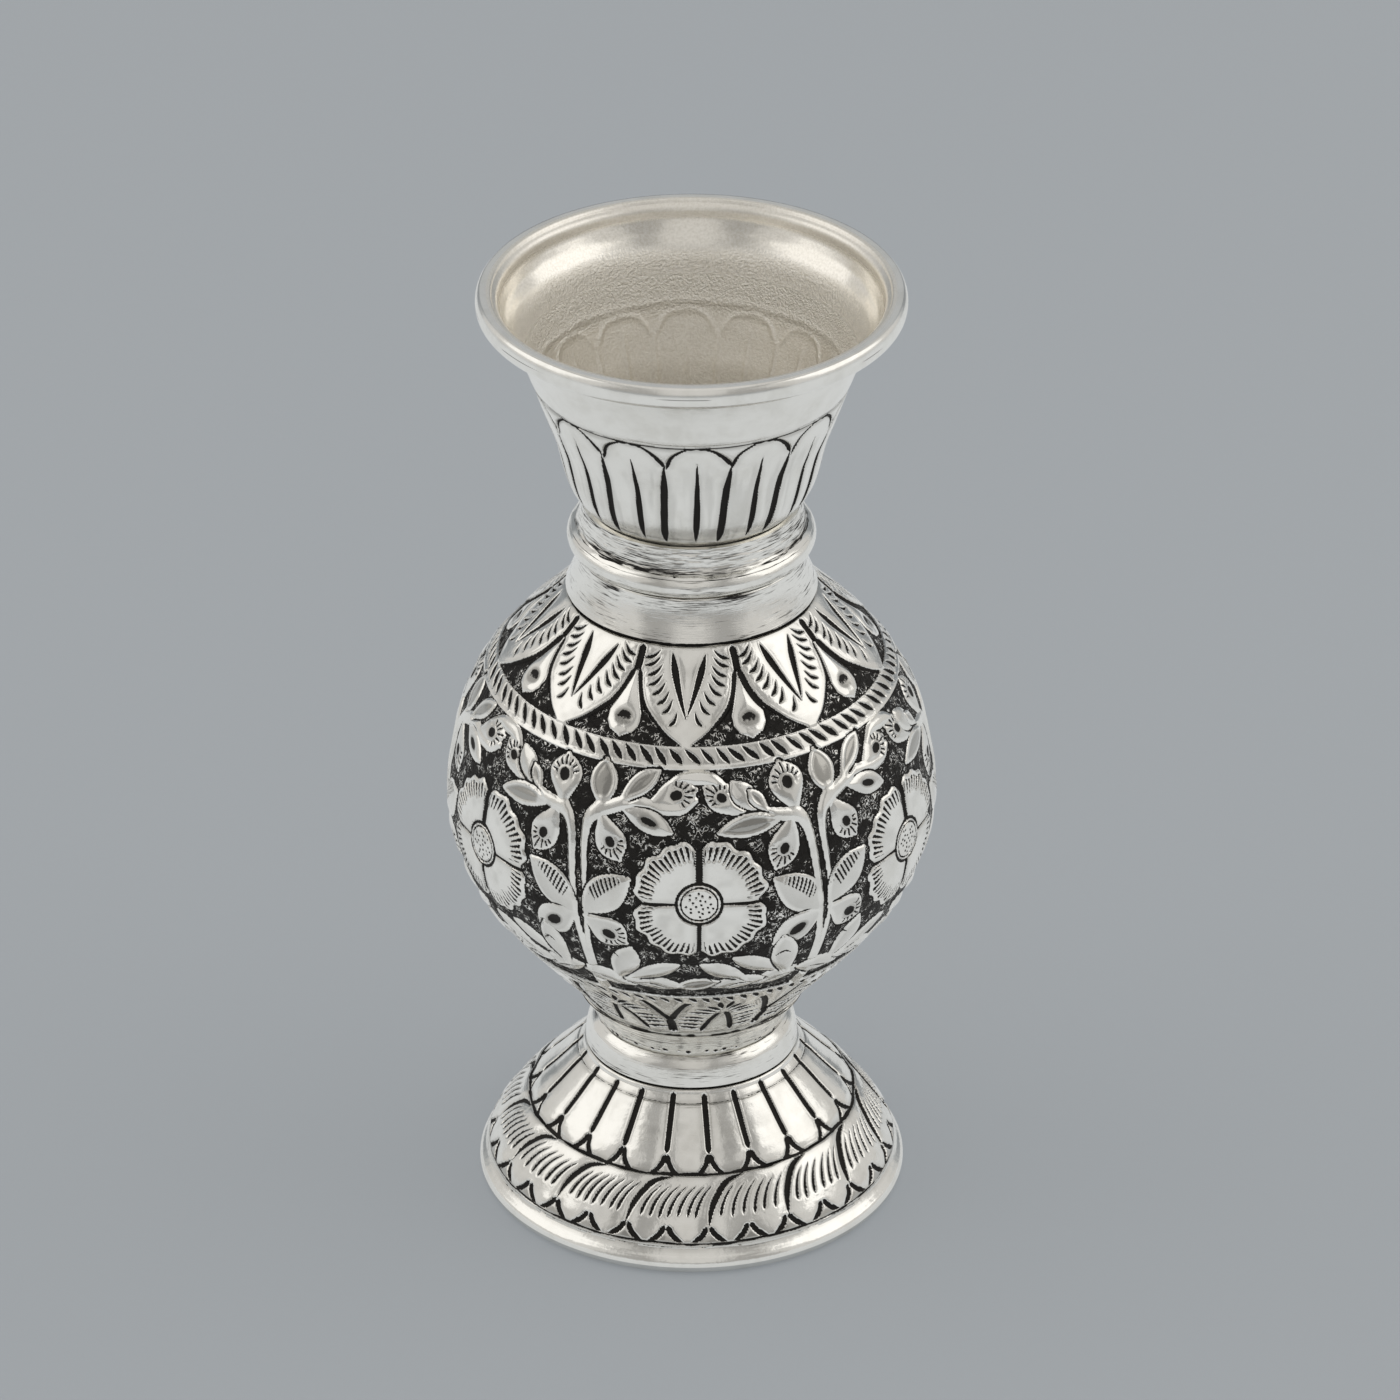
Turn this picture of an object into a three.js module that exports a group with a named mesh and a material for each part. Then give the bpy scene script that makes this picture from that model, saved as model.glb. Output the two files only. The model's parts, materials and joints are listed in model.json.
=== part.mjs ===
// A hand-raised silver flower vase: a trumpet mouth, a round belly and a domed foot, each worked from
// one sheet, with edges rolled over wire and joints covered by soldered bands and half-round rings.
// Millimetres, +Z up. The origin is the centre of the circle that the foot stands on.
import * as THREE from 'three';

// Driving dimensions.
const HEIGHT = 150;
const LIP_RADIUS = 31.4;
const BELLY_RADIUS = 36.8;
const BELLY_LEVEL = 66.5;
const FOOT_RADIUS = 32.4;
const SHEET = 0.8;
const ROLL_RADIUS = 1.8;
const GAP = 0.3;

// Heights of the joints, from the top down.
const SOCKET_TOP = 116.2;
const NECK_RING_MIDDLE = 110.1;
const COLLAR_TOP = 107.9;
const COLLAR_FOOT = 101.4;
const BODY_FOOT = 33.8;
const COVE_FOOT = 28.1;
const FOOT_TOP = 22.9;

// Radii of the parts that nest in each other at the neck and the waist.
const SPIGOT_RADIUS = 15;
const SOCKET_RADIUS = 16.3;
const NECK_RING_RADIUS = 18.4;
const NECK_RING_THICKNESS = 1.9;
const COLLAR_RADIUS = 18.75;
const WAIST_BORE = 13.4;

// Facets round the axis, and round a wire.
const FACETS = 40;
const WIRE_SIDES = 8;

// The circles that the lip and the rim are rolled round. The rim is ground flat where it stands.
const TREAD_ANGLE = 65;
const treadDrop = ROLL_RADIUS * Math.sin(THREE.MathUtils.degToRad(TREAD_ANGLE));
const lipCentre = at(LIP_RADIUS - ROLL_RADIUS, HEIGHT - ROLL_RADIUS);
const rimCentre = at(FOOT_RADIUS - ROLL_RADIUS, treadDrop);

/** A point of a profile: its radius from the axis and its height. */
function at(radius, height) {
  return new THREE.Vector2(radius, height);
}

/** Points along a smooth curve through the given ones. */
function smooth(points, steps) {
  return new THREE.SplineCurve(points).getPoints(steps);
}

/** Points on an arc about a centre, between two angles in degrees. */
function arc(centre, radius, from, to, steps) {
  return Array.from({ length: steps + 1 }, (_, i) => {
    const angle = THREE.MathUtils.degToRad(from + ((to - from) * i) / steps);
    return at(centre.x + radius * Math.cos(angle), centre.y + radius * Math.sin(angle));
  });
}

/** The line that runs a distance to the right of a path, mitred at its corners. */
function beside(path, distance) {
  return path.map((point, i) => {
    const before = path[Math.max(i - 1, 0)];
    const after = path[Math.min(i + 1, path.length - 1)];
    const arriving = point.clone().sub(i > 0 ? before : after).normalize().multiplyScalar(i > 0 ? 1 : -1);
    const leaving = i < path.length - 1 ? after.clone().sub(point).normalize() : arriving.clone();
    const along = arriving.add(leaving).normalize();
    const mitre = distance / along.dot(leaving);
    return at(point.x + along.y * mitre, point.y - along.x * mitre);
  });
}

/** Closed outline of sheet metal with one face on a path and its thickness to the path's right. */
function sheetOutline(path) {
  return [...path, ...beside(path, SHEET).reverse()];
}

/** The same for a bowl: the path ends on the axis, and so does the face beside it. */
function bowlOutline(path) {
  const inner = beside(path, SHEET);
  inner.at(-1).x = 0;
  return [...inner.reverse(), ...path];
}

/** Turns an outline round the Z axis into a named solid. */
function turned(name, outline, color, roughness) {
  const onAxis = outline[0].x === 0;
  const loop = onAxis ? [...outline] : [...outline, outline[0]];
  if (THREE.ShapeUtils.area(outline) < 0) loop.reverse();
  const geometry = new THREE.LatheGeometry(loop, FACETS);
  geometry.rotateX(Math.PI / 2);
  const mesh = new THREE.Mesh(geometry, new THREE.MeshStandardMaterial({ color, roughness, metalness: 1 }));
  mesh.name = name;
  return mesh;
}

/** The wire that an edge is rolled over. */
function rolledWire(name, centre) {
  const circle = arc(centre, ROLL_RADIUS - SHEET - GAP, 0, 360, WIRE_SIDES).slice(1);
  return turned(name, circle, 0xb8b4aa, 0.5);
}

/** Trumpet mouth: a spigot inside the neck, a flaring wall, and a lip rolled outwards over its wire. */
function mouthFunnel() {
  const boreRadius = SPIGOT_RADIUS - SHEET;
  const spigot = [at(boreRadius, COLLAR_TOP + 0.6), at(boreRadius, SOCKET_TOP)];
  const wall = [at(15.55, SOCKET_TOP + 1.0), at(19.9, 128.5)];
  const flare = smooth([at(24.0, 140), at(25.5, 143.6), at(27.3, 147)], 3);
  const roll = arc(lipCentre, ROLL_RADIUS, 150, -120, 9);
  return turned('mouth_funnel', sheetOutline([...spigot, ...wall, ...flare, ...roll]), 0xe6e2d8, 0.3);
}

/** Short tapered band that the funnel's spigot is soldered into. */
function neckSocket() {
  const bore = SPIGOT_RADIUS + GAP;
  const foot = NECK_RING_MIDDLE + NECK_RING_THICKNESS + GAP;
  const outline = [
    at(17.1, foot), at(16.7, 113.4), at(SOCKET_RADIUS, SOCKET_TOP - GAP), at(bore, SOCKET_TOP - GAP),
    at(bore, foot),
  ];
  return turned('neck_socket', outline, 0xcfcbc2, 0.45);
}

/** Half-round ring that covers the joint between the socket and the collar. */
function neckRing() {
  const centre = at(NECK_RING_RADIUS - NECK_RING_THICKNESS, NECK_RING_MIDDLE);
  return turned('neck_ring', arc(centre, NECK_RING_THICKNESS, -100, 100, 8), 0xe8e5dd, 0.22);
}

/** Plain band that stands on the shoulder and spreads a little at its foot. */
function neckCollar() {
  const seen = smooth([at(16.8, COLLAR_TOP), at(17.3, 105.2), at(COLLAR_RADIUS, COLLAR_FOOT)], 5);
  const hidden = beside(seen, SHEET).slice(0, -1).reverse();
  const footBevel = at(COLLAR_RADIUS - SHEET, COLLAR_FOOT + 0.4);
  return turned('neck_collar', [...seen, footBevel, ...hidden], 0xe2dfd6, 0.3);
}

/** Round belly, raised from one sheet: open at the shoulder and closed below, where it holds the water. */
function body() {
  const shoulder = [at(16.4, 102.3)];
  const belly = smooth(
    [
      at(18.7, 101.0), at(21.9, 97.7), at(28.0, 91.4), at(33.3, 83.6), at(36.0, 74.2),
      at(BELLY_RADIUS, BELLY_LEVEL), at(35.9, 60), at(32.4, 51.7), at(26.0, 43.7), at(20.3, 37.1),
      at(17.6, BODY_FOOT),
    ],
    18,
  );
  const bottom = [at(14.5, BODY_FOOT - 0.9), at(0, BODY_FOOT - 1.4)];
  return turned('body', bowlOutline([...shoulder, ...belly, ...bottom]), 0x9d9a92, 0.42);
}

/** Plain hollow band between the belly and the waist ring. */
function waistCove() {
  const seen = smooth([at(17.3, BODY_FOOT - 1), at(15.8, 30.6), at(14.6, COVE_FOOT)], 4);
  return turned('waist_cove', sheetOutline(seen), 0xd9d4c9, 0.42);
}

/** Moulded ring that the cove stands on. */
function waistRing() {
  const seen = smooth(
    [at(14.4, COVE_FOOT - GAP), at(15.45, 26.7), at(15.95, 25.2), at(16.2, FOOT_TOP + GAP)],
    5,
  );
  const bore = [at(WAIST_BORE, FOOT_TOP + GAP), at(WAIST_BORE, COVE_FOOT - GAP)];
  return turned('waist_ring', [...seen, ...bore], 0xe4e1d9, 0.25);
}

/** Domed foot: a cone for the flutes, a rounded band for the leaves, and a rim rolled over its wire. */
function footDome() {
  const top = [at(WAIST_BORE, FOOT_TOP), at(16.2, FOOT_TOP - 0.1)];
  const flutes = smooth([at(17.2, 21.8), at(21.0, 17.8), at(24.7, 13.8)], 3);
  const leaves = smooth([at(25.3, 13.2), at(28.4, 9.6), at(30.5, 6.4), at(31.2, 4.8)], 4);
  const groove = [at(31.0, 3.9)];
  const roll = arc(rimCentre, ROLL_RADIUS, TREAD_ANGLE, -TREAD_ANGLE, 4);
  const tuck = arc(rimCentre, ROLL_RADIUS, TREAD_ANGLE - 180, -165, 2);
  return turned(
    'foot_dome',
    sheetOutline([...top, ...flutes, ...leaves, ...groove, ...roll, ...tuck]),
    0xdedad0,
    0.32,
  );
}

const vase = new THREE.Group();
vase.add(
  mouthFunnel(),
  rolledWire('lip_wire', lipCentre),
  neckSocket(),
  neckRing(),
  neckCollar(),
  body(),
  waistCove(),
  waistRing(),
  footDome(),
  rolledWire('foot_wire', rimCentre),
);
export default vase;
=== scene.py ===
"""A chased silver flower vase in Blender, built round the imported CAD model.

Every piece is a turned shell whose profile is read from its CAD node. The chasing is drawn on the unrolled
face of the shell as real relief, and where the silver is blackened is kept as an attribute of the mesh for
the materials. Angles run round the axis in degrees from the front (-Y), positive towards +X. Distances on
an unrolled face are in millimetres down the profile.
"""
import json
import math

import bpy
import numpy as np
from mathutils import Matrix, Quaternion, Vector

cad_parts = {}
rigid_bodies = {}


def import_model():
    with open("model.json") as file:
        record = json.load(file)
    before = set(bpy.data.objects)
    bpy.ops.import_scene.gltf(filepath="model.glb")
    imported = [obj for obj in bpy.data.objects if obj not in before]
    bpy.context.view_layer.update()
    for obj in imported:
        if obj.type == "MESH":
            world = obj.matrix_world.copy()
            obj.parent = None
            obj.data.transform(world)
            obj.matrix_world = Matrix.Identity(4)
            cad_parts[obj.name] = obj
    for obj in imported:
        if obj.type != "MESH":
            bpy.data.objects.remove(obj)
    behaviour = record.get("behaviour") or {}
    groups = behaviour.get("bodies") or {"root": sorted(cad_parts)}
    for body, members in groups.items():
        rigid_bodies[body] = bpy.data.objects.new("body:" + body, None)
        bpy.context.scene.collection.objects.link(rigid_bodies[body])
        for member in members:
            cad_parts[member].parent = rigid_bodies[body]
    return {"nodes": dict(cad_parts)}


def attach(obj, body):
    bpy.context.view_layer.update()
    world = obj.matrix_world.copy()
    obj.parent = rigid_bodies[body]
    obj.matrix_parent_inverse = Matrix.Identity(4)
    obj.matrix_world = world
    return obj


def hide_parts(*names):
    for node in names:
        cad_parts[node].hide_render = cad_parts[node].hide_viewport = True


MM = 0.001
TINY = 1e-9
SHEET = 0.8

# Profiles: the bends, in degrees, at which the curve through the points and the shading break, and the
# curve's step in mm.
CORNER_DEG = 38
SHARP_DEG = 75
FINE_STEP = 0.02

# Chasing, in mm: how far the worked silver and the ground lie below the plain face, and the size of marks.
BASE = 0.08
GROUND_DEPTH = 0.56
MAX_DEPTH = 0.62
OUTER_DEPTH, INNER_DEPTH = 0.5, 0.28
LEAF_EDGE = 0.3
STEM_ROUNDNESS = 0.7
FLANK = 0.26
BURR = 0.05
PUNCH_STEP = 0.42
HATCH_STEP = 0.72
INSET_RIM = 0.42
FAR = 99.0

# How many straight parts stand for each span of a curved cut.
SPAN_PARTS = 5

# Chasing, as shares: painted shade on leaves, tarnish beside cuts, how uneven a cut is, where a leaf's eye
# is.
LEAF_TARNISH = 0.42
HALO = 0.3
SERRATION = 0.08
TAPER = 0.6
EYE_PLACE = 0.6

# Chasing, in degrees: from one short cut to the next round a leaf's eye and round a flower.
EYE_TURN = 24
HATCH_TURN = 5.625

# The camera: where the middle of the vase's collar is, and how the camera stands to it.
COLLAR_MIDDLE = (0.0, 0.0, 0.10137)
CAMERA_DISTANCE = 1.2734
CAMERA_ELEVATION = 29.28
CAMERA_LENS = 221.8
CAMERA_TILT_DOWN = 0.782
CAMERA_TURN_RIGHT = 0.056


# ---------------------------------------------------------------- profiles

def section(node):
    """A node's outline at angle 0 as (r, z) points in mm, in order round the outline."""
    mesh = FRAME["nodes"][node].data
    places = np.array([v.co[:] for v in mesh.vertices]) / MM
    on_plane = (np.abs(places[:, 1]) < 0.001) & (places[:, 0] > -0.001)
    keys = [tuple(np.round(p[[0, 2]], 3)) for p in places]
    links = {}
    for edge in mesh.edges:
        a, b = edge.vertices
        if on_plane[a] and on_plane[b] and keys[a] != keys[b]:
            links.setdefault(keys[a], set()).add(keys[b])
            links.setdefault(keys[b], set()).add(keys[a])
    ends = sorted(k for k, near in links.items() if len(near) == 1)
    path = [ends[0] if ends else min(links)]
    while True:
        onward = sorted(k for k in links[path[-1]] if k not in path)
        if not onward:
            return np.array(path)
        path.append(onward[0])


def unit(vectors):
    """Vectors scaled to length 1."""
    return vectors / np.maximum(np.linalg.norm(vectors, axis=-1, keepdims=True), TINY)


def rounded(points, closed):
    """A smooth curve through an outline's points as closely spaced points. Its sharp corners stay sharp."""
    count = len(points)
    spans = count if closed else count - 1
    ahead = np.roll(points, -1, axis=0) - points
    lengths = np.linalg.norm(ahead, axis=1)
    away = unit(ahead)
    curve = []
    for i in range(spans):
        j = (i + 1) % count
        start = span_direction(away, lengths, i, i, closed or i > 0)
        end = span_direction(away, lengths, j, i, closed or j < count - 1)
        steps = max(int(lengths[i] / FINE_STEP), 2)
        t = np.arange(steps)[:, None] / steps
        h00, h10 = 2 * t**3 - 3 * t**2 + 1, t**3 - 2 * t**2 + t
        h01, h11 = -2 * t**3 + 3 * t**2, t**3 - t**2
        curve.append(
            h00 * points[i] + h01 * points[j] + lengths[i] * (h10 * start + h11 * end)
        )
    if not closed:
        curve.append(points[-1:])
    return np.concatenate(curve)


def span_direction(away, lengths, point, span, has_two_sides):
    """The curve's direction at a point, as seen by the span: one-sided at an end or a corner."""
    before, after = away[point - 1], away[point]
    if not has_two_sides or before @ after < math.cos(math.radians(CORNER_DEG)):
        return away[span]
    return unit(before * lengths[point] + after * lengths[point - 1])


class Rows:
    """The rows of a turned piece: their places, in mm, and outward normals."""

    def __init__(self, curve, closed, spacing):
        ahead = np.roll(curve, -1, axis=0) - curve
        steps = np.linalg.norm(ahead, axis=1)
        if not closed:
            ahead[-1], steps[-1] = ahead[-2], 0
        tangent = unit(ahead + np.roll(ahead, 1, axis=0) * (1 if closed else 0.0))
        area = np.sum(curve[:, 0] * ahead[:, 1] - curve[:, 1] * ahead[:, 0])
        normal = np.stack([tangent[:, 1], -tangent[:, 0]], axis=1) * (1 if area > 0 else -1)
        wanted = spacing(curve[:, 0], curve[:, 1], normal[:, 0], normal[:, 1])
        tally = np.concatenate([[0], np.cumsum(steps / wanted)[:-1]])
        total = tally[-1] + (steps / wanted)[-1]
        number = max(int(round(total)), 3)
        marks = np.arange(number) * total / number if closed else np.linspace(0, total, number)
        self.closed = closed
        self.r, self.z, self.nr, self.nz = (
            np.interp(marks, tally, values)
            for values in (curve[:, 0], curve[:, 1], normal[:, 0], normal[:, 1])
        )


# ---------------------------------------------------------------- chasing on an unrolled face

def ease(low, high, values):
    """A smooth step from 0 at low to 1 at high."""
    t = np.clip((values - low) / (high - low), 0, 1)
    return t * t * (3 - 2 * t)


def lattice_noise(angle, v, cells_round, cell_mm, seed):
    """Smooth noise in -1..1 over angle (degrees) and v (mm) that joins up round the axis."""
    random = np.random.default_rng(seed)
    v = v - v.min()
    rows = int(v.max() / cell_mm) + 3
    knots = random.uniform(-1, 1, (rows, cells_round))
    x = (angle % 360) / 360 * cells_round
    y = v / cell_mm
    i, j = np.floor(y).astype(int), np.floor(x).astype(int)
    fy, fx = ease(0, 1, y - i), ease(0, 1, x - j)
    j0, j1 = j % cells_round, (j + 1) % cells_round
    top = knots[i, j0] * (1 - fx) + knots[i, j1] * fx
    low = knots[i + 1, j0] * (1 - fx) + knots[i + 1, j1] * fx
    return top * (1 - fy) + low * fy


class Face:
    """A piece's face, unrolled to be chased: height in mm, and dark, ground and tarnish with painted shade
    from 0 to 1.
    """

    def __init__(self, rows, chosen, columns):
        self.rows, self.chosen, self.columns = rows, chosen, columns
        self.per_column = 360 / columns
        self.angle = (np.arange(columns) * self.per_column - 180)[None, :]
        self.r, self.z = rows.r[chosen], rows.z[chosen]
        steps = np.hypot(np.diff(self.r), np.diff(self.z))
        self.v = np.concatenate([[0], np.cumsum(steps)])
        shape = (len(chosen), columns)
        self.height, self.dark, self.ground, self.tarnish = (np.zeros(shape) for _ in range(4))

    def v_at(self, level):
        """The distance at which the face first comes down to a level, in mm above the floor."""
        return self.v[int(np.argmax(self.z <= level))]

    def radius_at(self, v):
        """The radius of the row nearest a distance."""
        return self.r[np.argmin(np.abs(self.v - v))]

    def degree_at(self, v):
        """The width of a degree, in mm, in the row nearest a distance."""
        return self.radius_at(v) * math.radians(1)

    def measure_from(self, level, start=0.0):
        """Puts v = start at a level."""
        self.v = self.v - self.v_at(level) + start

    def patch(self, angle_low, angle_high, v_low, v_high):
        """The part of the face within these limits."""
        rows = np.nonzero((self.v >= v_low) & (self.v <= v_high))[0]
        first = math.floor((angle_low + 180) / self.per_column)
        last = math.ceil((angle_high + 180) / self.per_column)
        return Patch(self, rows, np.arange(first, last + 1))

    def band(self, v_low, v_high):
        """The part of the face between two distances, all the way round."""
        return self.patch(-180, 180 - self.per_column, v_low, v_high)

    def cells_of(self, size):
        """How many cells of a size, in mm, go round the face."""
        return int(2 * math.pi * self.r.mean() / size)

    def planish(self, size, depth, seed):
        """Leaves the face slightly uneven, as hammered and burnished metal is."""
        cells = self.cells_of(size)
        self.height -= depth * (1 + lattice_noise(self.angle, self.v[:, None], cells, size, seed))

    def spread(self, name):
        """One of the face's fields as values for all the rows of its piece."""
        values = np.zeros((len(self.rows.r), self.columns))
        values[self.chosen] = getattr(self, name)
        return values


class Patch:
    """A window of a face, with its own angles and distances and the width of a degree in each row."""

    def __init__(self, face, rows, wide):
        self.face = face
        self.cells = np.ix_(rows, wide % face.columns)
        self.angle = (wide * face.per_column - 180)[None, :]
        self.v = face.v[rows][:, None]
        self.degree = face.r[rows][:, None] * math.radians(1)

    def get(self, name):
        """One of the face's fields within the patch."""
        return getattr(self.face, name)[self.cells]

    def blend(self, mask, **values):
        """Moves the face's fields towards the given values as far as the mask says."""
        for name, value in values.items():
            old = self.get(name)
            getattr(self.face, name)[self.cells] = old + (value - old) * mask

    def sink(self, depth):
        """Lowers the face by a depth, in mm."""
        self.face.height[self.cells] -= depth

    def darken(self, amount):
        """Blackens the face, where it isn't blacker already."""
        self.face.dark[self.cells] = np.maximum(self.get("dark"), amount)

    def dull(self, amount):
        """Tarnishes the face or paints shade on it, where it isn't darker in this way already."""
        self.face.tarnish[self.cells] = np.maximum(self.get("tarnish"), amount)

    def along(self, path):
        """For each cell: the distance to a path of (angle, v) points, how far along, and the side of it."""
        nearest = np.full((len(self.v), self.angle.shape[1]), FAR)
        share, side = np.zeros_like(nearest), np.zeros_like(nearest)
        spans = len(path) - 1
        for k in range(spans):
            ax, ay = (path[k][0] - self.angle) * self.degree, path[k][1] - self.v
            bx, by = (path[k + 1][0] - self.angle) * self.degree, path[k + 1][1] - self.v
            dx, dy = bx - ax, by - ay
            t = np.clip(-(ax * dx + ay * dy) / np.maximum(dx * dx + dy * dy, TINY), 0, 1)
            qx, qy = ax + t * dx, ay + t * dy
            distance = np.hypot(qx, qy)
            closer = distance < nearest
            nearest = np.where(closer, distance, nearest)
            share = np.where(closer, (k + t) / spans, share)
            side = np.where(closer, np.sign(dx * qy - dy * qx), side)
        return nearest, share, side


def curve_through(points):
    """A smooth path through (angle, v) points."""
    points = np.array(points, dtype=float)
    if len(points) == 2:
        return points
    padded = np.vstack([2 * points[0] - points[1], points, 2 * points[-1] - points[-2]])
    path = []
    for k in range(1, len(padded) - 2):
        p0, p1, p2, p3 = padded[k - 1 : k + 3]
        for t in np.arange(SPAN_PARTS) / SPAN_PARTS:
            path.append(
                0.5 * (2 * p1 + (p2 - p0) * t + (2 * p0 - 5 * p1 + 4 * p2 - p3) * t**2
                       + (3 * p1 - p0 - 3 * p2 + p3) * t**3)
            )
    path.append(points[-1])
    return np.array(path)


def placed(angle, path, side=1):
    """A path given in degrees to one side of an angle and in mm, as (angle, v) points."""
    return [(angle + side * a, v) for a, v in path]


def tapered(share, start, end):
    """A width's share along a stroke that comes to a point over its first and last parts."""
    grow = np.clip(share / start, 0, 1)
    fall = np.clip((1 - share) / end, 0, 1)
    return np.minimum(grow, fall) ** TAPER


def around_path(face, path, margin):
    """The patch of a face that holds a path and a margin (mm) round it."""
    low, high = path.min(axis=0), path.max(axis=0)
    reach = margin / (max(face.radius_at(path[:, 1].mean()) * 0.75, 8) * math.radians(1))
    return face.patch(low[0] - reach, high[0] + reach, low[1] - margin, high[1] + margin)


def groove(face, points, width, depth=0.34, start=0.4, end=0.4, dark=1.0, swell=0.1, reach=0.6):
    """Cuts a tapering groove along points, with a burr and a soft fall beside it. Its width is in mm."""
    path = curve_through(points)
    patch = around_path(face, path, width / 2 + 2 * reach)
    distance, share, _ = patch.along(path)
    length = np.hypot(*(np.diff(path, axis=0) * (patch.degree.mean(), 1)).T).sum()
    serration = 1 + SERRATION * np.sin(2 * math.pi * share * length / PUNCH_STEP)
    taper = np.maximum(tapered(share, start, end), 0.14)
    half = width / 2 * taper * serration
    inside = ease(half + 0.1, half * 0.3, distance)
    beside = np.exp(-((np.maximum(distance - half, 0) / reach) ** 2))
    burr = BURR * np.exp(-(((distance - half - 0.16) / 0.12) ** 2))
    patch.sink(depth * inside * (0.35 + 0.65 * taper) + swell * beside * taper - burr)
    patch.dull(HALO * dark * beside * taper)
    patch.darken(dark * ease(half + 0.09, half - 0.07, distance))


def ring(face, v, width, depth=0.3, dark=1.0, swell=0.08, waver=0.08, seed=0):
    """Cuts a line round the face, slightly uneven."""
    patch = face.band(v - width - 1.2, v + width + 1.2)
    wander = waver * lattice_noise(patch.angle, np.zeros((1, 1)), 40, 1, seed)
    distance = np.abs(patch.v - v - wander)
    half = width / 2 * (1 + 0.35 * lattice_noise(patch.angle, np.zeros((1, 1)), 90, 1, seed + 1))
    inside = ease(half + 0.1, half * 0.3, distance)
    beside = np.exp(-((np.maximum(distance - half, 0) / 0.5) ** 2))
    burr = BURR * np.exp(-(((distance - half - 0.16) / 0.12) ** 2))
    patch.sink(depth * inside + swell * beside - burr)
    patch.dull(0.5 * dark * beside)
    patch.darken(dark * ease(half + 0.09, half - 0.07, distance))


def lower_ground(patch, mask):
    """Beats the ground down and blackens it as far as the mask says."""
    patch.blend(mask, height=-GROUND_DEPTH, dark=1.0, ground=1.0)


def raise_shape(patch, inside, roundness=2.0, moat=0.0, moated=1.0):
    """Leaves a domed shape standing above the ground: inside is in mm from its edge, positive within it."""
    if moat:
        cut = ease(-moat - 0.1, -moat + 0.05, inside) * ease(0.25, 0.05, inside) * moated
        patch.blend(cut, height=-GROUND_DEPTH, dark=1.0)
    patch.blend(ease(-0.55, -0.2, inside), ground=0.0)
    dome = (1 - np.clip(inside / roundness, 0, 1)) ** 2
    within = ease(-FLANK, 0.04, inside)
    old = patch.get("height")
    level = -BASE - LEAF_EDGE * dome
    patch.face.height[patch.cells] = np.maximum(old, old + (level - old) * within)
    patch.blend(ease(-0.19, -0.07, inside), dark=0.0, tarnish=0.0)


def strand(face, points, widths):
    """Leaves a stem standing along points; its width (mm) changes evenly through the given values."""
    path = curve_through(points)
    patch = around_path(face, path, max(widths) + 1.2)
    distance, share, _ = patch.along(path)
    width = np.interp(share, np.linspace(0, 1, len(widths)), widths)
    raise_shape(patch, width / 2 - distance, roundness=STEM_ROUNDNESS)


class Blade:
    """A leaf's patch and, for each cell of it, how far inside the leaf, along it and to a side it is."""

    def __init__(self, face, base, tip, half_width, bend, widest):
        base, tip = np.array(base, dtype=float), np.array(tip, dtype=float)
        degree = face.degree_at((base[1] + tip[1]) / 2)
        run = (tip - base) * (degree, 1)
        across = np.array([-run[1], run[0]]) / np.linalg.norm(run)
        middle = (base + tip) / 2 + across * bend / (degree, 1)
        t = np.linspace(0, 1, 9)[:, None]
        path = base * (1 - t) ** 2 + middle * 2 * t * (1 - t) + tip * t**2
        self.patch = around_path(face, path, half_width + 1.2)
        distance, self.share, side = self.patch.along(path)
        warped = self.share ** (math.log(0.5) / math.log(widest))
        width = half_width * (0.12 + 0.88 * np.sin(math.pi * np.clip(warped, 0, 1)) ** 0.8)
        self.inside, self.offset = width - distance, side * distance
        self.half_width, self.length = half_width, np.hypot(*run)


def leaf(face, base, tip, half_width, bend=0.0, widest=0.55, moat=0.42, mark=None, side=1):
    """A chased leaf, with painted shade inside it. Its mark is one of the functions below, and hatching lies
    to one side.
    """
    blade = Blade(face, base, tip, half_width, bend, widest)
    raise_shape(blade.patch, blade.inside, moat=moat, moated=ease(0.04, 0.24, blade.share))
    # Painted shade: the leaf is darker inside than at its rims, and darker towards one side as if tilted from
    # the light.
    shade = 0.55 + 0.45 * blade.offset / half_width
    blade.patch.dull(LEAF_TARNISH * ease(0.2, 0.8, blade.inside) * shade)
    blade.offset = blade.offset * side
    if mark:
        mark(blade)


def mark_inset(blade):
    """A shallow dull hollow inside a leaf, with a thin line at its edge."""
    depth_in = blade.inside - INSET_RIM
    hollow = ease(0, 0.35, depth_in) * ease(0.12, 0.25, blade.share)
    line = np.exp(-((depth_in / 0.1) ** 2)) * ease(0.12, 0.25, blade.share)
    blade.patch.sink(0.24 * hollow + 0.06 * line)
    blade.patch.dull(0.85 * hollow)
    blade.patch.darken(0.5 * line)


def mark_dimple(blade):
    """A round dent near the middle of a leaf, black at its bottom."""
    along = (blade.share - 0.52) * 2.6
    dent = np.exp(-((along / 0.55) ** 2 + (blade.offset / (0.42 * blade.half_width)) ** 2))
    blade.patch.sink(0.24 * dent)
    blade.patch.dull(0.8 * ease(0.15, 0.5, dent))
    blade.patch.darken(ease(0.35, 0.7, dent) * 0.95)


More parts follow.
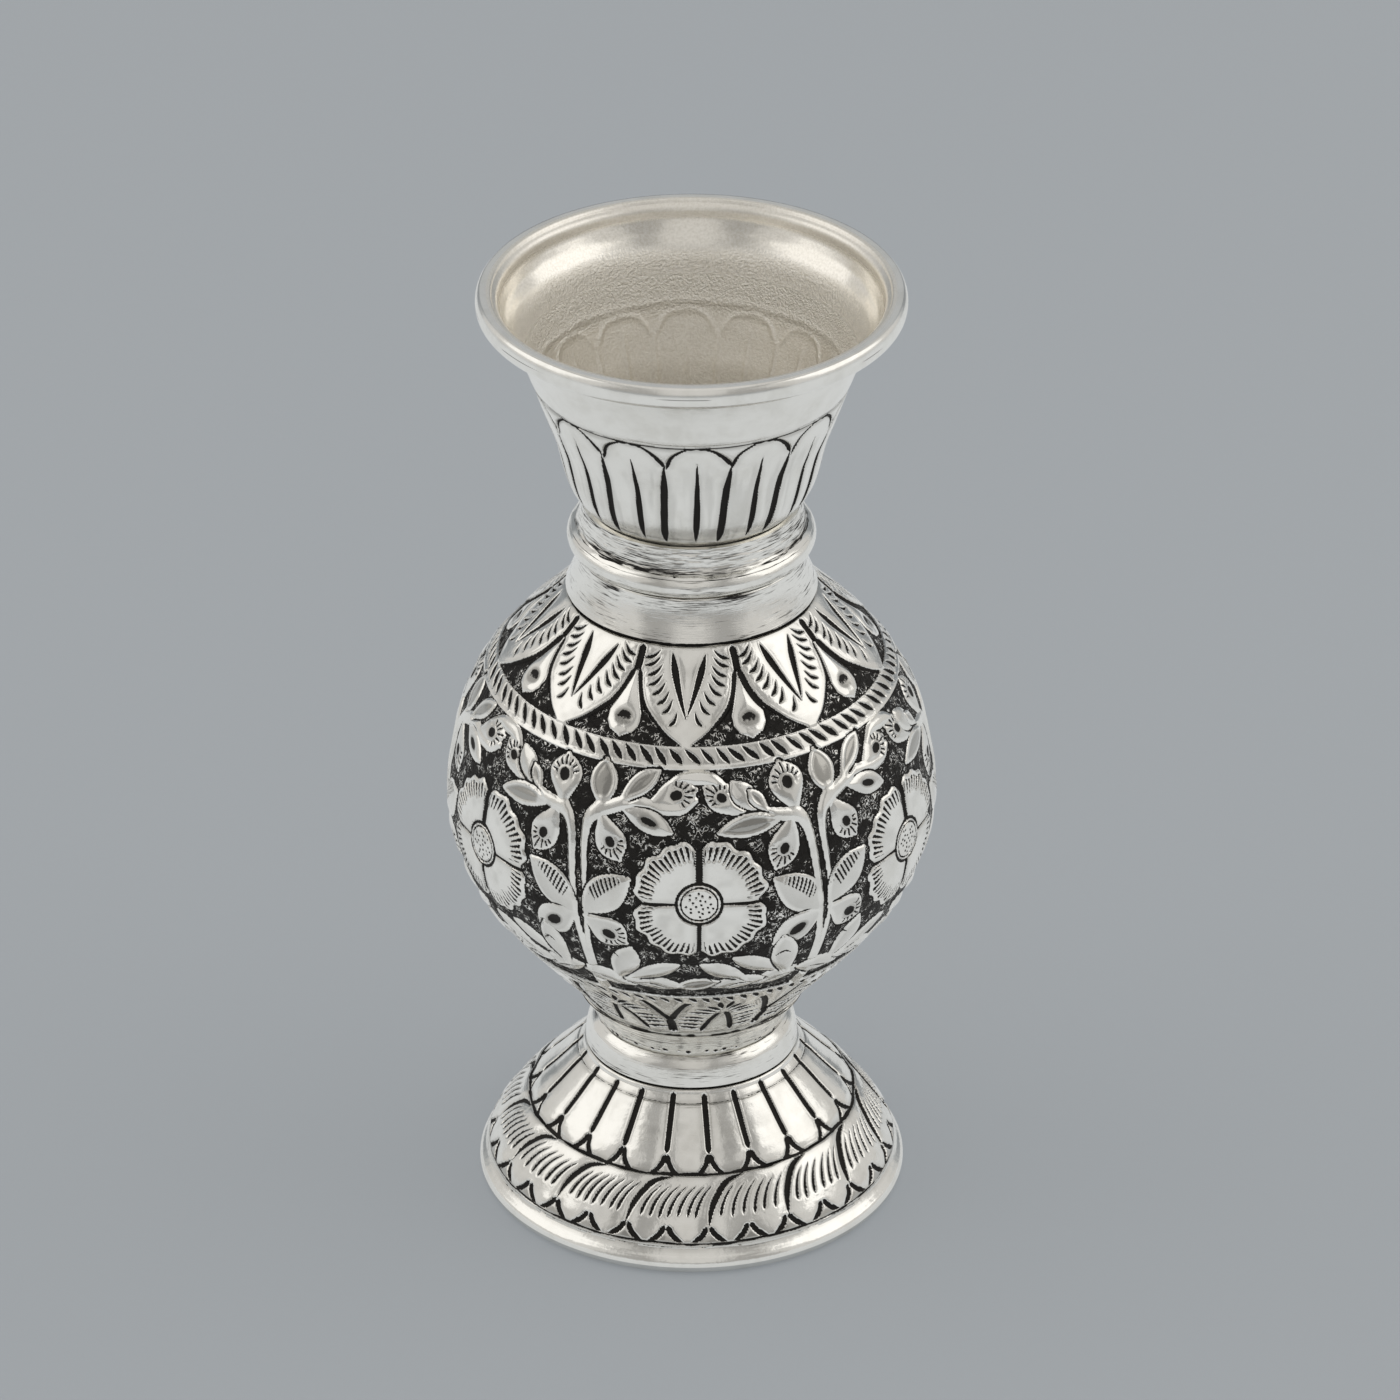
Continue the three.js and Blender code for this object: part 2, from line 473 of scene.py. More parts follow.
def mark_eye(blade):
    """A dark dent in a leaf's broad end, a line round it and short cuts that fan out to the edge."""
    x, y = (blade.share - EYE_PLACE) * blade.length, blade.offset
    radius, turn = np.hypot(x, y), np.degrees(np.arctan2(y, x))
    dent = np.exp(-((np.hypot(x / 1.25, y) / (0.34 * blade.half_width)) ** 2))
    rim = 0.54 * blade.half_width
    line = ease(0.2, 0.06, np.abs(radius - rim)) * ease(128, 100, np.abs(turn))
    stroke = np.abs(turn / EYE_TURN - np.round(turn / EYE_TURN)) * EYE_TURN * math.radians(1) * radius
    fan = ease(0.22, 0.1, stroke) * ease(rim, rim + 0.15, radius) * ease(0.16, 0.34, blade.inside)
    fan = fan * ease(100, 80, np.abs(turn))
    blade.patch.sink(0.26 * dent + 0.14 * line + 0.16 * fan)
    blade.patch.dull(0.55 * ease(rim + 0.2, rim - 0.4, radius))
    blade.patch.darken(np.maximum(0.95 * ease(0.22, 0.6, dent), np.maximum(0.5 * line, 0.95 * fan)))


def mark_hatching(blade):
    """Short cuts that run from the middle of a leaf towards one edge."""
    phase = blade.share * blade.length / HATCH_STEP - 0.5 * blade.offset
    stroke = np.abs(phase - np.round(phase)) * HATCH_STEP
    where = ease(0.0, 0.3, blade.offset) * ease(0.25, 0.45, blade.inside)
    where = where * ease(0.2, 0.4, blade.share) * ease(0.97, 0.8, blade.share)
    cut = ease(0.24, 0.12, stroke) * where
    blade.patch.sink(0.16 * cut)
    blade.patch.darken(0.95 * cut)


# ---------------------------------------------------------------- the funnel's fluting

# Levels are in mm above the floor, the angles round the roll of the lip in degrees.
FUNNEL_BAND = 136.1
LIP_FOOT, LIP_ROLL, OFF_ROLL = 146.35, 1.8, -999
LIP_FLAT, LIP_HALF, LIP_SHARE = 100, 50, 0.7
LIP_FLARE, LIP_LIFT = 0.5, 0.41
FLUTED_FOOT, LIP_START = 116.25, 146.4
INSIDE_FOOT, INSIDE_TOP = 117, 147
SPIGOT_TOP = 115.6
FLARE_START, FLARE_END = 143.5, 147.5
FLUTES = 14
FLUTE_START = 2.3


def chase_funnel(face):
    """Fourteen round-topped flutes under a line, split by long tapering cuts."""
    face.height -= BASE
    face.planish(4.0, 0.02, 11)
    face.measure_from(FUNNEL_BAND)
    random = np.random.default_rng(12)
    pitch = 360 / FLUTES
    swell_flutes(face, pitch)
    smear_flutes(face)
    ring(face, -0.55, 0.12, depth=0.08, dark=0.25, seed=13)
    ring(face, 0.0, 0.24, depth=0.2, seed=14)
    for k in range(FLUTES):
        middle = FLUTE_START + k * pitch + random.uniform(-0.5, 0.5)
        edge = middle + pitch / 2 + random.uniform(-0.4, 0.4)
        lift = random.uniform(-0.2, 0.5)
        cusp = 4.0 + lift
        groove(face, [(middle, 3.2 + lift), (middle + 0.3, 11), (middle, 19.7)], 0.95, start=0.6, end=0.2)
        groove(face, [(edge, 3.9), (edge - 1.2, 12), (edge - 2.2, 20.3)], 1.12, start=0.3, end=0.16)
        last = edge - pitch
        left = [(last + 0.7, cusp + 0.5), (last + 3.2, 1.9), (middle - 4.4, 0.35), (middle, 0.15)]
        right = [(middle, 0.15), (middle + 5.0, 0.5), (middle + 9.6, 2.0), (edge + 0.3, cusp + 0.1)]
        groove(face, left, 0.6, start=0.12, end=0.9)
        groove(face, right, 0.7, start=0.8, end=0.12)


def swell_flutes(face, pitch):
    """The flutes' soft roundness between their cuts."""
    patch = face.band(2.5, 20.6)
    phase = (patch.angle - FLUTE_START) / pitch * 4 * math.pi
    rise = ease(2.5, 6.0, patch.v) * ease(20.6, 17.0, patch.v)
    patch.sink(0.1 * (1 - np.cos(phase)) / 2 * rise)


def smear_flutes(face):
    """Faint upright smears of tarnish that run down the flutes, and a darker band at their foot."""
    patch = face.band(3.0, 22.0)
    broad = lattice_noise(patch.angle, patch.v, 84, 9.0, 15)
    narrow = lattice_noise(patch.angle, patch.v, 230, 4.0, 16)
    smears = 0.7 * broad + 0.5 * narrow
    patch.dull(0.24 * ease(-0.1, 0.7, smears) * ease(3.0, 6.0, patch.v) + 0.3 * ease(17.5, 20.5, patch.v))


def imprint_funnel(face):
    """The flutes and the line seen from the inside of the funnel, where they show only faintly."""
    face.measure_from(FUNNEL_BAND)
    pitch = 360 / FLUTES
    ring(face, -0.3, 1.0, depth=-0.2, dark=0, swell=0)
    for k in range(FLUTES):
        middle = FLUTE_START + k * pitch
        arch = placed(middle, [(-11.5, 4.2), (-7.5, 1.7), (0, 0.9), (7.5, 1.7), (11.5, 4.2)])
        groove(face, arch, 0.55, depth=-0.16, start=0.1, end=0.1, dark=0, swell=0)
        groove(face, [(middle, 3.4), (middle, 20)], 0.5, depth=-0.18, dark=0, swell=0)
        groove(face, [(middle + pitch / 2, 4.2), (middle + pitch / 2, 20)], 0.6, depth=-0.2, dark=0, swell=0)


# ---------------------------------------------------------------- the body's shoulder

COLLAR_LINE = 101.3
PETALS = 9
PETAL_PITCH = 360 / PETALS
SHOULDER_TIP = -1.8
PETAL_END = 15.2
ROPE_TOP, ROPE_END = 15.6, 18.0
ROPE_SLASHES = 84


def chase_shoulder(face):
    """Nine chased petals that hang from the collar, teardrops between them and a rope band below."""
    face.measure_from(COLLAR_LINE)
    random = np.random.default_rng(21)
    for k in range(PETALS):
        tip = SHOULDER_TIP + k * PETAL_PITCH + random.uniform(-0.35, 0.35)
        petal_ground(face, tip + PETAL_PITCH / 2)
    for k in range(PETALS):
        tip = SHOULDER_TIP + k * PETAL_PITCH + random.uniform(-0.35, 0.35)
        petal_edges(face, tip, random)
        petal_v(face, tip, random)
        petal_crescents(face, tip, random)
        teardrop(face, tip + PETAL_PITCH / 2, random)
    rope_band(face, random)
    ring(face, 0.0, 0.5, seed=22)


def petal_half_width(v):
    """Half a shoulder petal's width in degrees, v mm below the collar."""
    return np.interp(v, [4.5, 7.5, 10, 12, 13.7, 15.2], [19.2, 17.0, 14.2, 10.2, 6.3, 1.6])


def petal_ground(face, gap):
    """The blackened ground of the gap between two petals."""
    patch = face.patch(gap - 20, gap + 20, 4.2, PETAL_END + 0.3)
    beyond = (PETAL_PITCH / 2 - petal_half_width(patch.v) - np.abs(patch.angle - gap)) * patch.degree
    lower_ground(patch, ease(-0.1, 0.3, beyond) * ease(PETAL_END + 0.3, PETAL_END, patch.v))


def petal_edges(face, tip, random):
    """The thick black lines down both sides of a petal and the spear where two petals meet."""
    for side in (-1, 1):
        points = [(tip + side * petal_half_width(v), v) for v in (4.2, 7.5, 10, 12, 13.7, 15.2)]
        groove(face, points, 0.92 + random.uniform(-0.06, 0.06), start=0.05, end=0.5, swell=0.14)
    gap = tip + PETAL_PITCH / 2
    groove(face, [(gap, 0.6), (gap + 0.2, 2.6), (gap, 4.9)], 1.1, start=0.12, end=0.05)


def petal_v(face, tip, random):
    """The deep V in a petal."""
    play = random.uniform(-0.5, 0.5, 2)
    left = [(tip - 7.0 + play[0], 1.3), (tip - 3.9, 5.6), (tip - 0.2, 11.2)]
    right = [(tip + 8.0 + play[1], 1.6), (tip + 4.2, 5.8), (tip + 0.2, 10.9)]
    for points, width in ((left, 1.08), (right, 1.0)):
        groove(face, points, width, start=0.3, end=0.6, swell=0.14)


def petal_crescents(face, tip, random):
    """Rows of small crescent cuts between a petal's V and its edges."""
    starts = [1.0, 2.0, 3.3, 4.6, 5.9, 7.2, 8.5, 10.2]
    for k, v in enumerate(starts):
        for side in (-1, 1):
            inner = np.interp(v, [1, 4.6, 8.2, 10.2, 12], [11.6, 9.3, 5.2, 2.7, 1.2])
            inner = inner + random.uniform(-0.4, 0.4)
            length = np.interp(k, [0, 3, 7], [6.6, 5.2, 2.5])
            drop = np.interp(k, [0, 3, 7], [1.5, 2.0, 2.2])
            a = (tip + side * inner, v + random.uniform(-0.15, 0.15))
            b = (tip + side * (inner + length), v + drop)
            bulge = ((a[0] + b[0]) / 2 - side * 0.4, (a[1] + b[1]) / 2 + 0.32)
            groove(face, [a, bulge, b], 0.58, depth=0.3, start=0.7, end=0.4, swell=0.12, reach=0.4)


def teardrop(face, angle, random):
    """The raised drop between two petals, with a dark dent near its bottom."""
    angle = angle + random.uniform(-0.4, 0.4)
    patch = face.patch(angle - 8, angle + 8, 4.6, PETAL_END + 0.2)
    half = np.interp(patch.v, [5.0, 8.0, 11.0, 12.6, 13.8, 14.6], [0.3, 2.7, 5.1, 4.9, 3.4, 0.1])
    inside = np.minimum((half - np.abs(patch.angle - angle)) * patch.degree * 0.93, (14.6 - patch.v) * 0.9)
    raise_shape(patch, inside, moat=0.45)
    x = (patch.angle - angle) / 3.3
    y = (patch.v - 11.7) / 1.3
    dent = np.exp(-((x**2 + y**2) ** 1.4))
    patch.sink(0.3 * dent)
    patch.dull(0.8 * ease(0.2, 0.6, dent))
    patch.darken(0.8 * ease(0.4, 0.85, dent) * ease(1.2, -0.4, y))


def rope_band(face, random):
    """The rope of slanted cuts round the bottom of the shoulder."""
    patch = face.band(ROPE_TOP - 0.25, ROPE_END + 0.25)
    inside = np.minimum(patch.v - ROPE_TOP, ROPE_END - patch.v) * np.ones_like(patch.angle)
    patch.blend(ease(-0.15, 0.1, inside), height=-BASE, dark=0.0, ground=0.0)
    patch.sink(0.12 * (1 - np.clip(inside / 1.1, 0, 1)) ** 2)
    patch.dull(0.42 * ease(-0.1, 0.2, inside))
    pitch = 360 / ROPE_SLASHES
    middle = (ROPE_TOP + ROPE_END) / 2
    for k in range(ROPE_SLASHES):
        angle = k * pitch + random.uniform(-0.45, 0.45)
        slant = 2.0 + random.uniform(-0.3, 0.3)
        height = 1.22 + random.uniform(-0.14, 0.12)
        groove(
            face, [(angle - slant, middle - height), (angle + slant, middle + height)],
            0.78 + random.uniform(-0.1, 0.14), depth=0.34, start=0.45, end=0.3, swell=0.16, reach=0.45,
        )


# ---------------------------------------------------------------- the body's flower field

FIELD_TOP = 87.7
FIELD_LOW = 47.0
PANELS = 6
PANEL_PITCH = 360 / PANELS
FLOWER = (1.25, 21.0)
FLOWER_RADIUS = 10.3
OUTER_RING, INNER_RING = 3.4, 2.75
MIDDLE_PITS, PITS_REACH = 22, 2.2

# The angle, in radians, that spreads pits evenly over a round.
GOLDEN_TURN = 2.39996


def chase_field(face):
    """Six panels: a four-petalled flower under an arch of leaves, between branching stems."""
    face.measure_from(FIELD_TOP)
    depth = face.v_at(FIELD_LOW)
    patch = face.band(0.0, depth + 0.3)
    within = ease(0.0, 0.3, patch.v) * ease(depth + 0.3, depth, patch.v)
    lower_ground(patch, within * np.ones_like(patch.angle))
    random = np.random.default_rng(31)
    for k in range(PANELS):
        shift = k * PANEL_PITCH + random.uniform(-0.5, 0.5)
        stems(face, shift)
        bottom_garland(face, shift, random)
        crown_leaves(face, shift, random)
        side_leaves(face, shift, random)
        bottom_leaves(face, shift, random)
        flower(face, shift, random)


class Panel:
    """Draws on a face with every angle shifted to one panel and every point slightly out of true."""

    def __init__(self, face, shift, random):
        self.face, self.shift, self.random = face, shift, random

    def at(self, point, play=0.22):
        """A point of the panel on the face, out of true by up to the play."""
        return (point[0] + self.shift + self.random.uniform(-play, play) * 1.6,
                point[1] + self.random.uniform(-play, play))

    def leaf(self, base, tip, half_width, **options):
        """A leaf in the panel."""
        leaf(self.face, self.at(base, 0.08), self.at(tip), half_width, **options)

    def strand(self, points, widths):
        """A stem in the panel."""
        strand(self.face, [self.at(p, 0.08) for p in points], widths)

    def groove(self, points, width, **options):
        """A cut in the panel."""
        groove(self.face, [self.at(p, 0.1) for p in points], width, **options)


def stems(face, shift):
    """Two strands that rise side by side and part at the top, one to each neighbouring panel."""
    left = [(-27.9, 45), (-27.4, 38), (-27.6, 31.5), (-28.3, 27), (-28.9, 22), (-29.6, 17.5), (-30.4, 12.5),
            (-31.8, 9.6), (-33.8, 8.3)]
    right = [(-26.4, 45), (-26.7, 38), (-26.3, 31.5), (-25.9, 27), (-25.9, 22), (-26.4, 17.5), (-26.9, 12.5),
             (-26.2, 9.0), (-23.3, 7.0)]
    for points, widths in ((left, [1.3, 1.0, 0.75, 0.8, 1.2, 2.2]), (right, [1.2, 1.0, 0.45, 0.5, 1.0, 2.4])):
        strand(face, placed(shift, points), widths)


def crown_leaves(face, shift, random):
    """The arch of branches and leaves over a flower."""
    panel = Panel(face, shift, random)
    panel.strand([(-23.8, 7.3), (-20.5, 6.5), (-15.7, 5.4), (-10.4, 5.9), (-3.5, 5.9), (0.3, 4.6)],
                 [2.0, 1.9, 1.8, 1.9, 1.6, 0.9])
    panel.strand([(26.4, 8.4), (21.5, 7.9), (17.0, 7.2), (12.6, 6.6), (9.0, 5.4)], [2.0, 1.7, 1.6, 1.5, 1.4])
    panel.strand([(-6.8, 2.6), (-3.3, 1.3), (0.5, 1.2), (4.5, 1.5), (7.8, 2.9), (9.6, 5.0), (13.0, 6.9)],
                 [0.6, 1.3, 1.9, 1.8, 1.2, 0.9, 0.7])
    panel.leaf((-11.4, 5.6), (0.5, 3.2), 2.35, bend=-0.4, widest=0.64, moat=0.0, mark=mark_eye)
    panel.leaf((12.6, 7.2), (3.2, 2.6), 2.1, bend=0.6, widest=0.6, moat=0.0, mark=mark_eye)
    panel.leaf((-23.4, 6.6), (-24.2, -0.1), 2.05, widest=0.52, mark=mark_inset)
    panel.leaf((-18.9, 5.8), (-9.3, 0.5), 1.45, bend=-0.5, widest=0.6, mark=mark_inset)
    panel.leaf((17.9, 7.0), (10.0, 2.2), 1.6, bend=-0.5, widest=0.6, moat=0.35)
    panel.leaf((19.0, 7.2), (14.8, 3.9), 0.95, widest=0.6, moat=0.35, mark=mark_inset)
    panel.leaf((26.3, 8.0), (24.2, 0.5), 2.6, widest=0.62, mark=mark_eye)
    panel.leaf((21.6, 8.7), (6.6, 9.8), 1.65, bend=0.7, widest=0.5, mark=mark_inset)
    panel.leaf((-17.4, 6.8), (-5.6, 9.4), 1.6, bend=-0.3, widest=0.55, mark=mark_dimple)
    panel.leaf((24.6, 8.8), (19.6, 16.0), 2.3, bend=-0.5, widest=0.6, mark=mark_eye)
    panel.leaf((-23.0, 7.8), (-17.6, 14.5), 2.25, bend=0.5, widest=0.62, mark=mark_eye)


def side_leaves(face, shift, random):
    """The broad leaves beside a flower."""
    panel = Panel(face, shift, random)
    panel.leaf((-25.9, 24.0), (-15.5, 17.6), 2.75, bend=-0.7, widest=0.5, mark=mark_hatching, side=1)
    panel.leaf((-26.0, 25.0), (-16.2, 29.0), 2.75, bend=-0.2, widest=0.6, mark=mark_eye)
    panel.leaf((31.2, 24.9), (19.4, 18.0), 2.8, bend=0.8, widest=0.5, mark=mark_hatching, side=-1)
    panel.leaf((31.2, 25.0), (20.4, 29.8), 2.6, bend=0.2, widest=0.55, mark=mark_dimple)


def bottom_leaves(face, shift, random):
    """The leaves under a flower."""
    panel = Panel(face, shift, random)
    panel.leaf((-20.6, 38.6), (-15.3, 30.0), 2.05, bend=0.3, widest=0.6)
    panel.leaf((-17.0, 38.2), (-3.4, 33.2), 1.5, bend=-0.4, widest=0.6)
    panel.leaf((14.5, 38.4), (1.9, 33.4), 1.6, bend=0.5, widest=0.6)
    panel.leaf((24.2, 37.2), (10.0, 32.2), 1.5, bend=0.4, widest=0.6)
    panel.leaf((25.6, 38.6), (22.3, 28.8), 2.0, bend=-0.3, widest=0.6)
    for points in (
        [(-9.2, 36.9), (-6.8, 36.8), (-4.6, 36.0)], [(-16, 38.9), (-12.5, 40.5), (-10.8, 42.4)],
        [(1.4, 35.4), (2.9, 36.6), (5.2, 37.9)], [(7.2, 37.7), (10.4, 37.4), (14, 38.4)],
        [(-22.4, 33.3), (-20.4, 31.9), (-18.6, 32.3)], [(20.6, 32.8), (22.6, 31.8), (24.4, 32.4)],
    ):
        panel.groove(points, 0.36, depth=0.2)


def bottom_garland(face, shift, random):
    """The leaves that lie along the bottom of the field."""
    panel = Panel(face, shift, random)
    panel.leaf((-16.0, 40.4), (-30.8, 37.6), 2.1, bend=0.5, widest=0.5)
    panel.leaf((16.4, 40.4), (29.6, 37.4), 2.1, bend=-0.5, widest=0.5)
    panel.leaf((-2.6, 39.9), (-18.6, 38.6), 2.0, bend=0.4, widest=0.5, moat=0.3)
    panel.leaf((4.4, 39.9), (19.4, 38.8), 2.0, bend=-0.4, widest=0.5, moat=0.3)
    panel.leaf((-4.4, 40.0), (6.4, 38.2), 1.8, widest=0.5, moat=0.3, mark=mark_inset)
    for points in (
        [(-7.0, 40.0), (-10.5, 39.0), (-14.5, 38.9)], [(8.4, 40.1), (11.8, 39.1), (15.6, 39.0)],
        [(-19.5, 40.2), (-23.5, 39.2), (-27.5, 38.2)], [(19.6, 40.2), (23.4, 39.1), (26.6, 38.1)],
    ):
        panel.groove(points, 0.34, depth=0.2)


def flower(face, shift, random):
    """Four broad petals, split by a cross of cuts and hatched round their edge, and a pitted middle."""
    centre = (FLOWER[0] + shift + random.uniform(-0.3, 0.3), FLOWER[1] + random.uniform(-0.2, 0.2))
    patch = face.patch(centre[0] - 20, centre[0] + 20, centre[1] - 13, centre[1] + 13)
    x = (patch.angle - centre[0]) * patch.degree
    y = patch.v - centre[1]
    radius, turn = np.hypot(x, y), np.degrees(np.arctan2(y, x))
    cleft = np.abs((turn + 45) % 90 - 45)
    edge = FLOWER_RADIUS * (1 + 0.03 * np.sin(math.radians(1) * (turn + 50)))
    edge = edge - 1.5 * np.exp(-((cleft / 9) ** 2)) - 0.24 * np.cos(np.radians(turn * 20 + 40))
    edge = edge + 0.14 * np.cos(np.radians(turn * 11 + random.uniform(0, 360)))
    inside = edge - radius
    raise_shape(patch, inside, moat=0.6, roundness=1.4)
    patch.sink(0.12 * ease(9.5, 4.5, radius) * (inside > 0))
    flower_hatching(patch, turn, inside, cleft)
    flower_middle(patch, x, y, radius, random)
    degree = face.degree_at(centre[1])
    for ends, width in (
        (((0.0, -9.2), (0.0, -3.2)), 1.1), (((0.0, 3.2), (0.0, 10.4)), 0.72),
        (((-9.6, 0.3), (-3.2, 0.1)), 0.46), (((3.2, 0.1), (10.0, 0.3)), 0.46),
    ):
        points = [(centre[0] + across / degree, centre[1] + down) for across, down in ends]
        groove(face, points, width, start=0.02, end=0.02)


def flower_hatching(patch, turn, inside, cleft):
    """Short cuts that point to the flower's middle, just inside the edge of its petals."""
    pitch = HATCH_TURN
    stroke = np.abs(turn / pitch - np.round(turn / pitch)) * pitch * math.radians(1) * (FLOWER_RADIUS - 1.6)
    where = ease(0.45, 0.65, inside) * ease(3.1, 2.5, inside) * ease(4, 7, cleft)
    half = np.interp(inside, [0.6, 2.8], [0.25, 0.13])
    cut = ease(half + 0.08, half - 0.06, stroke) * where
    patch.sink(0.22 * cut)
    patch.darken(0.95 * cut)


def flower_middle(patch, x, y, radius, random):
    """The flower's raised round middle, full of pits, inside two dark rings."""
    outer = ease(0.36, 0.16, np.abs(radius - OUTER_RING))
    lines = np.maximum(outer, ease(0.2, 0.08, np.abs(radius - INNER_RING)))
    patch.sink(0.26 * lines)
    patch.darken(lines)
    for k in range(MIDDLE_PITS):
        reach = PITS_REACH * math.sqrt((k + 0.5) / MIDDLE_PITS)
        turn = GOLDEN_TURN * k + random.uniform(-0.2, 0.2)
        pit = np.hypot(x - reach * math.cos(turn), y - reach * math.sin(turn))
        patch.sink(0.16 * ease(0.34, 0.08, pit))
        patch.darken(0.9 * ease(0.3, 0.14, pit))


# ---------------------------------------------------------------- the body's calyx

CALYX_START = 51.5
CALYX_LINE = 23.4
CALYX_PETALS = 9
CALYX_PITCH = 360 / CALYX_PETALS
CALYX_MIDDLE = 11.2
BORDER_TOP, BORDER_END = 5.9, 8.5
BORDER_MIDDLE = 7.2
BORDER_MARKS = 88
CRESCENTS = 8


def chase_calyx(face):
    """Nine petals that rise from the waist, under a border of slanted marks."""
    face.measure_from(CALYX_START)
    random = np.random.default_rng(41)
    scratch_ground(face, random)
    border_band(face, random)
    for k in range(CALYX_PETALS):
        middle = CALYX_MIDDLE + k * CALYX_PITCH + random.uniform(-0.5, 0.5)
        calyx_gap(face, middle + CALYX_PITCH / 2, random)
        for side, path in (
            (-1, [(1.1, 13.8), (3.6, 17.2), (7.0, 22.4)]), (1, [(0.9, 13.6), (3.8, 17.2), (7.6, 22.8)]),
        ):
            groove(face, placed(middle, path, side), 0.85, start=0.1, end=0.1)
        calyx_crescents(face, middle, random)
    ring(face, CALYX_LINE, 0.5, seed=42)


def scratch_ground(face, random):
    """Upright tool scratches in the dark ground over the border."""
    for angle in np.arange(-180, 180, 1.7):
        v = random.uniform(3.2, 4.2)
        slant = random.uniform(-0.5, 0.7)
        length = random.uniform(0.6, 1.5)
        path = curve_through([(angle, v), (angle + slant, v + length)])
        patch = around_path(face, path, 0.4)
        distance, share, _ = patch.along(path)
        line = ease(0.16, 0.05, distance) * tapered(share, 0.4, 0.4) * patch.get("dark")
        patch.blend(line * 0.75, height=-0.3, dark=0.35, ground=0.0)


def border_band(face, random):
    """The plain band with its row of short slanted marks."""
    patch = face.band(BORDER_TOP - 0.5, BORDER_END + 0.3)
    inside = np.minimum(patch.v - BORDER_TOP - 0.15 * lattice_noise(patch.angle, patch.v * 0, 70, 1, 43), 3)
    patch.blend(ease(-0.15, 0.1, inside), height=-BASE, dark=0.0, ground=0.0)
    pitch = 360 / BORDER_MARKS
    for k in range(BORDER_MARKS):
        angle = k * pitch + random.uniform(-0.5, 0.5)
        v = BORDER_MIDDLE + random.uniform(-0.1, 0.15)
        groove(face, [(angle - 1.2, v - 1.05), (angle + 1.2, v + 1.05)], 0.86,
               depth=0.26, start=0.35, end=0.45, swell=0.09, reach=0.45)


def calyx_gap(face, angle, random):
    """The Y of black between two calyx petals."""
    angle = angle + random.uniform(-0.3, 0.3)
    for side in (-1, 1):
        arm = [(8.4, 8.9), (6.4, 10.2), (4.1, 12.8), (1.8, 15.8), (0.5, 17.8)]
        groove(face, placed(angle, arm, side), 1.0, start=0.1, end=0.1, swell=0.14)
    groove(face, [(angle, 17.0), (angle, 22.7)], 1.4, start=0.2, end=0.05)


def calyx_crescents(face, middle, random):
    """Curved cuts that fan out round a calyx petal, from its inner lines to its edge."""
    inner = curve_through([(7.9, 21.4), (5.4, 17.5), (2.9, 13.8), (0.6, 12.2)])
    outer = curve_through([(18.4, 20.6), (16.6, 16.6), (11.8, 12.4), (2.2, 9.0)])
    for k in range(CRESCENTS):
        step = round(k * (len(inner) - 1) / (CRESCENTS - 1))
        for side in (-1, 1):
            play = random.uniform(-0.25, 0.25, 2)
            a = (middle + side * (outer[step][0] + play[0]), outer[step][1] + play[1])
            b = (middle + side * (inner[step][0] - play[0]), inner[step][1] + play[1])
            bulge = ((a[0] + b[0]) / 2 + side * 0.5, (a[1] + b[1]) / 2 - 0.35)
            groove(face, [a, bulge, b], 0.92, depth=0.34, start=0.5, end=0.3, swell=0.06, reach=0.3)


# ---------------------------------------------------------------- the foot

FOOT_START = 22.8
FOOT_FLUTES = 22
FOOT_GROOVE = 6.5
FOOT_LINE = 14.1
LEAVES = 15
LEAF_PITCH = 360 / LEAVES
LEAF_START = 5.0
TREAD_LINE = 24.8
ROLLED_RIM, FOOT_TOP = 3.4, 22.9
FOOT_HIDDEN_RADIUS = 15


def chase_foot(face):
    """A collar of flutes over a band of slanting leaves with a scalloped border."""
    face.height -= BASE
    face.planish(4.5, 0.02, 51)
    face.measure_from(FOOT_START, 1.2)
    random = np.random.default_rng(52)
    pitch = 360 / FOOT_FLUTES
    swell_foot(face, pitch)
    ring(face, 3.2, 0.2, depth=0.1, dark=0.7, seed=53)
    for k in range(FOOT_FLUTES):
        foot_groove(face, FOOT_GROOVE + k * pitch + random.uniform(-0.5, 0.5), random)
    ring(face, FOOT_LINE, 0.46, waver=0.14, seed=54)
    for k in range(LEAVES):
        slanting_leaf(face, LEAF_START + k * LEAF_PITCH + random.uniform(-0.6, 0.6), random)
    for k in range(2 * LEAVES):
        scallop(face, LEAF_START + k * LEAF_PITCH / 2 + random.uniform(-0.4, 0.4), random)
    ring(face, TREAD_LINE, 0.5, waver=0.14, seed=55)
    ring(face, TREAD_LINE + 0.75, 0.2, depth=0.08, dark=0.55, waver=0.25, seed=56)


def swell_foot(face, pitch):
    """The roundness of the flutes and of the slanting leaves."""
    patch = face.band(1.6, FOOT_LINE)
    across = np.abs((patch.angle - FOOT_GROOVE) / pitch - np.round((patch.angle - FOOT_GROOVE) / pitch)) * 2
    full = np.interp(patch.v, [1.6, 3.0, 9.5, 12.0, FOOT_LINE], [0.05, 0.22, 0.3, 0.34, 0.1])
    rounding = 1 - np.sqrt(np.clip(1 - (1 - across) ** 2.6, 0, 1))
    along = np.interp(patch.v, [1.6, 8.0, 11.3, 12.6, FOOT_LINE], [0.2, 0.16, 0.0, 0.05, 0.24])
    patch.sink(full * rounding + along)


def foot_groove(face, angle, random):
    """The cut between two flutes, stepped by the punch, and the arrow under it."""
    top = 1.7 + random.uniform(-0.15, 0.2)
    groove(face, [(angle, top), (angle, 6), (angle, 10.9)], 0.88, start=0.04, end=0.06, swell=0.0)
    foot = 11.0 + random.uniform(-0.1, 0.2)
    for side in (-1, 1):
        points = placed(angle, [(0.4, foot), (1.3, 12.5), (3.0, 13.5), (5.0, 13.95)], side)
        groove(face, points, 0.76, start=0.1, end=0.4, swell=0.05, reach=0.4)


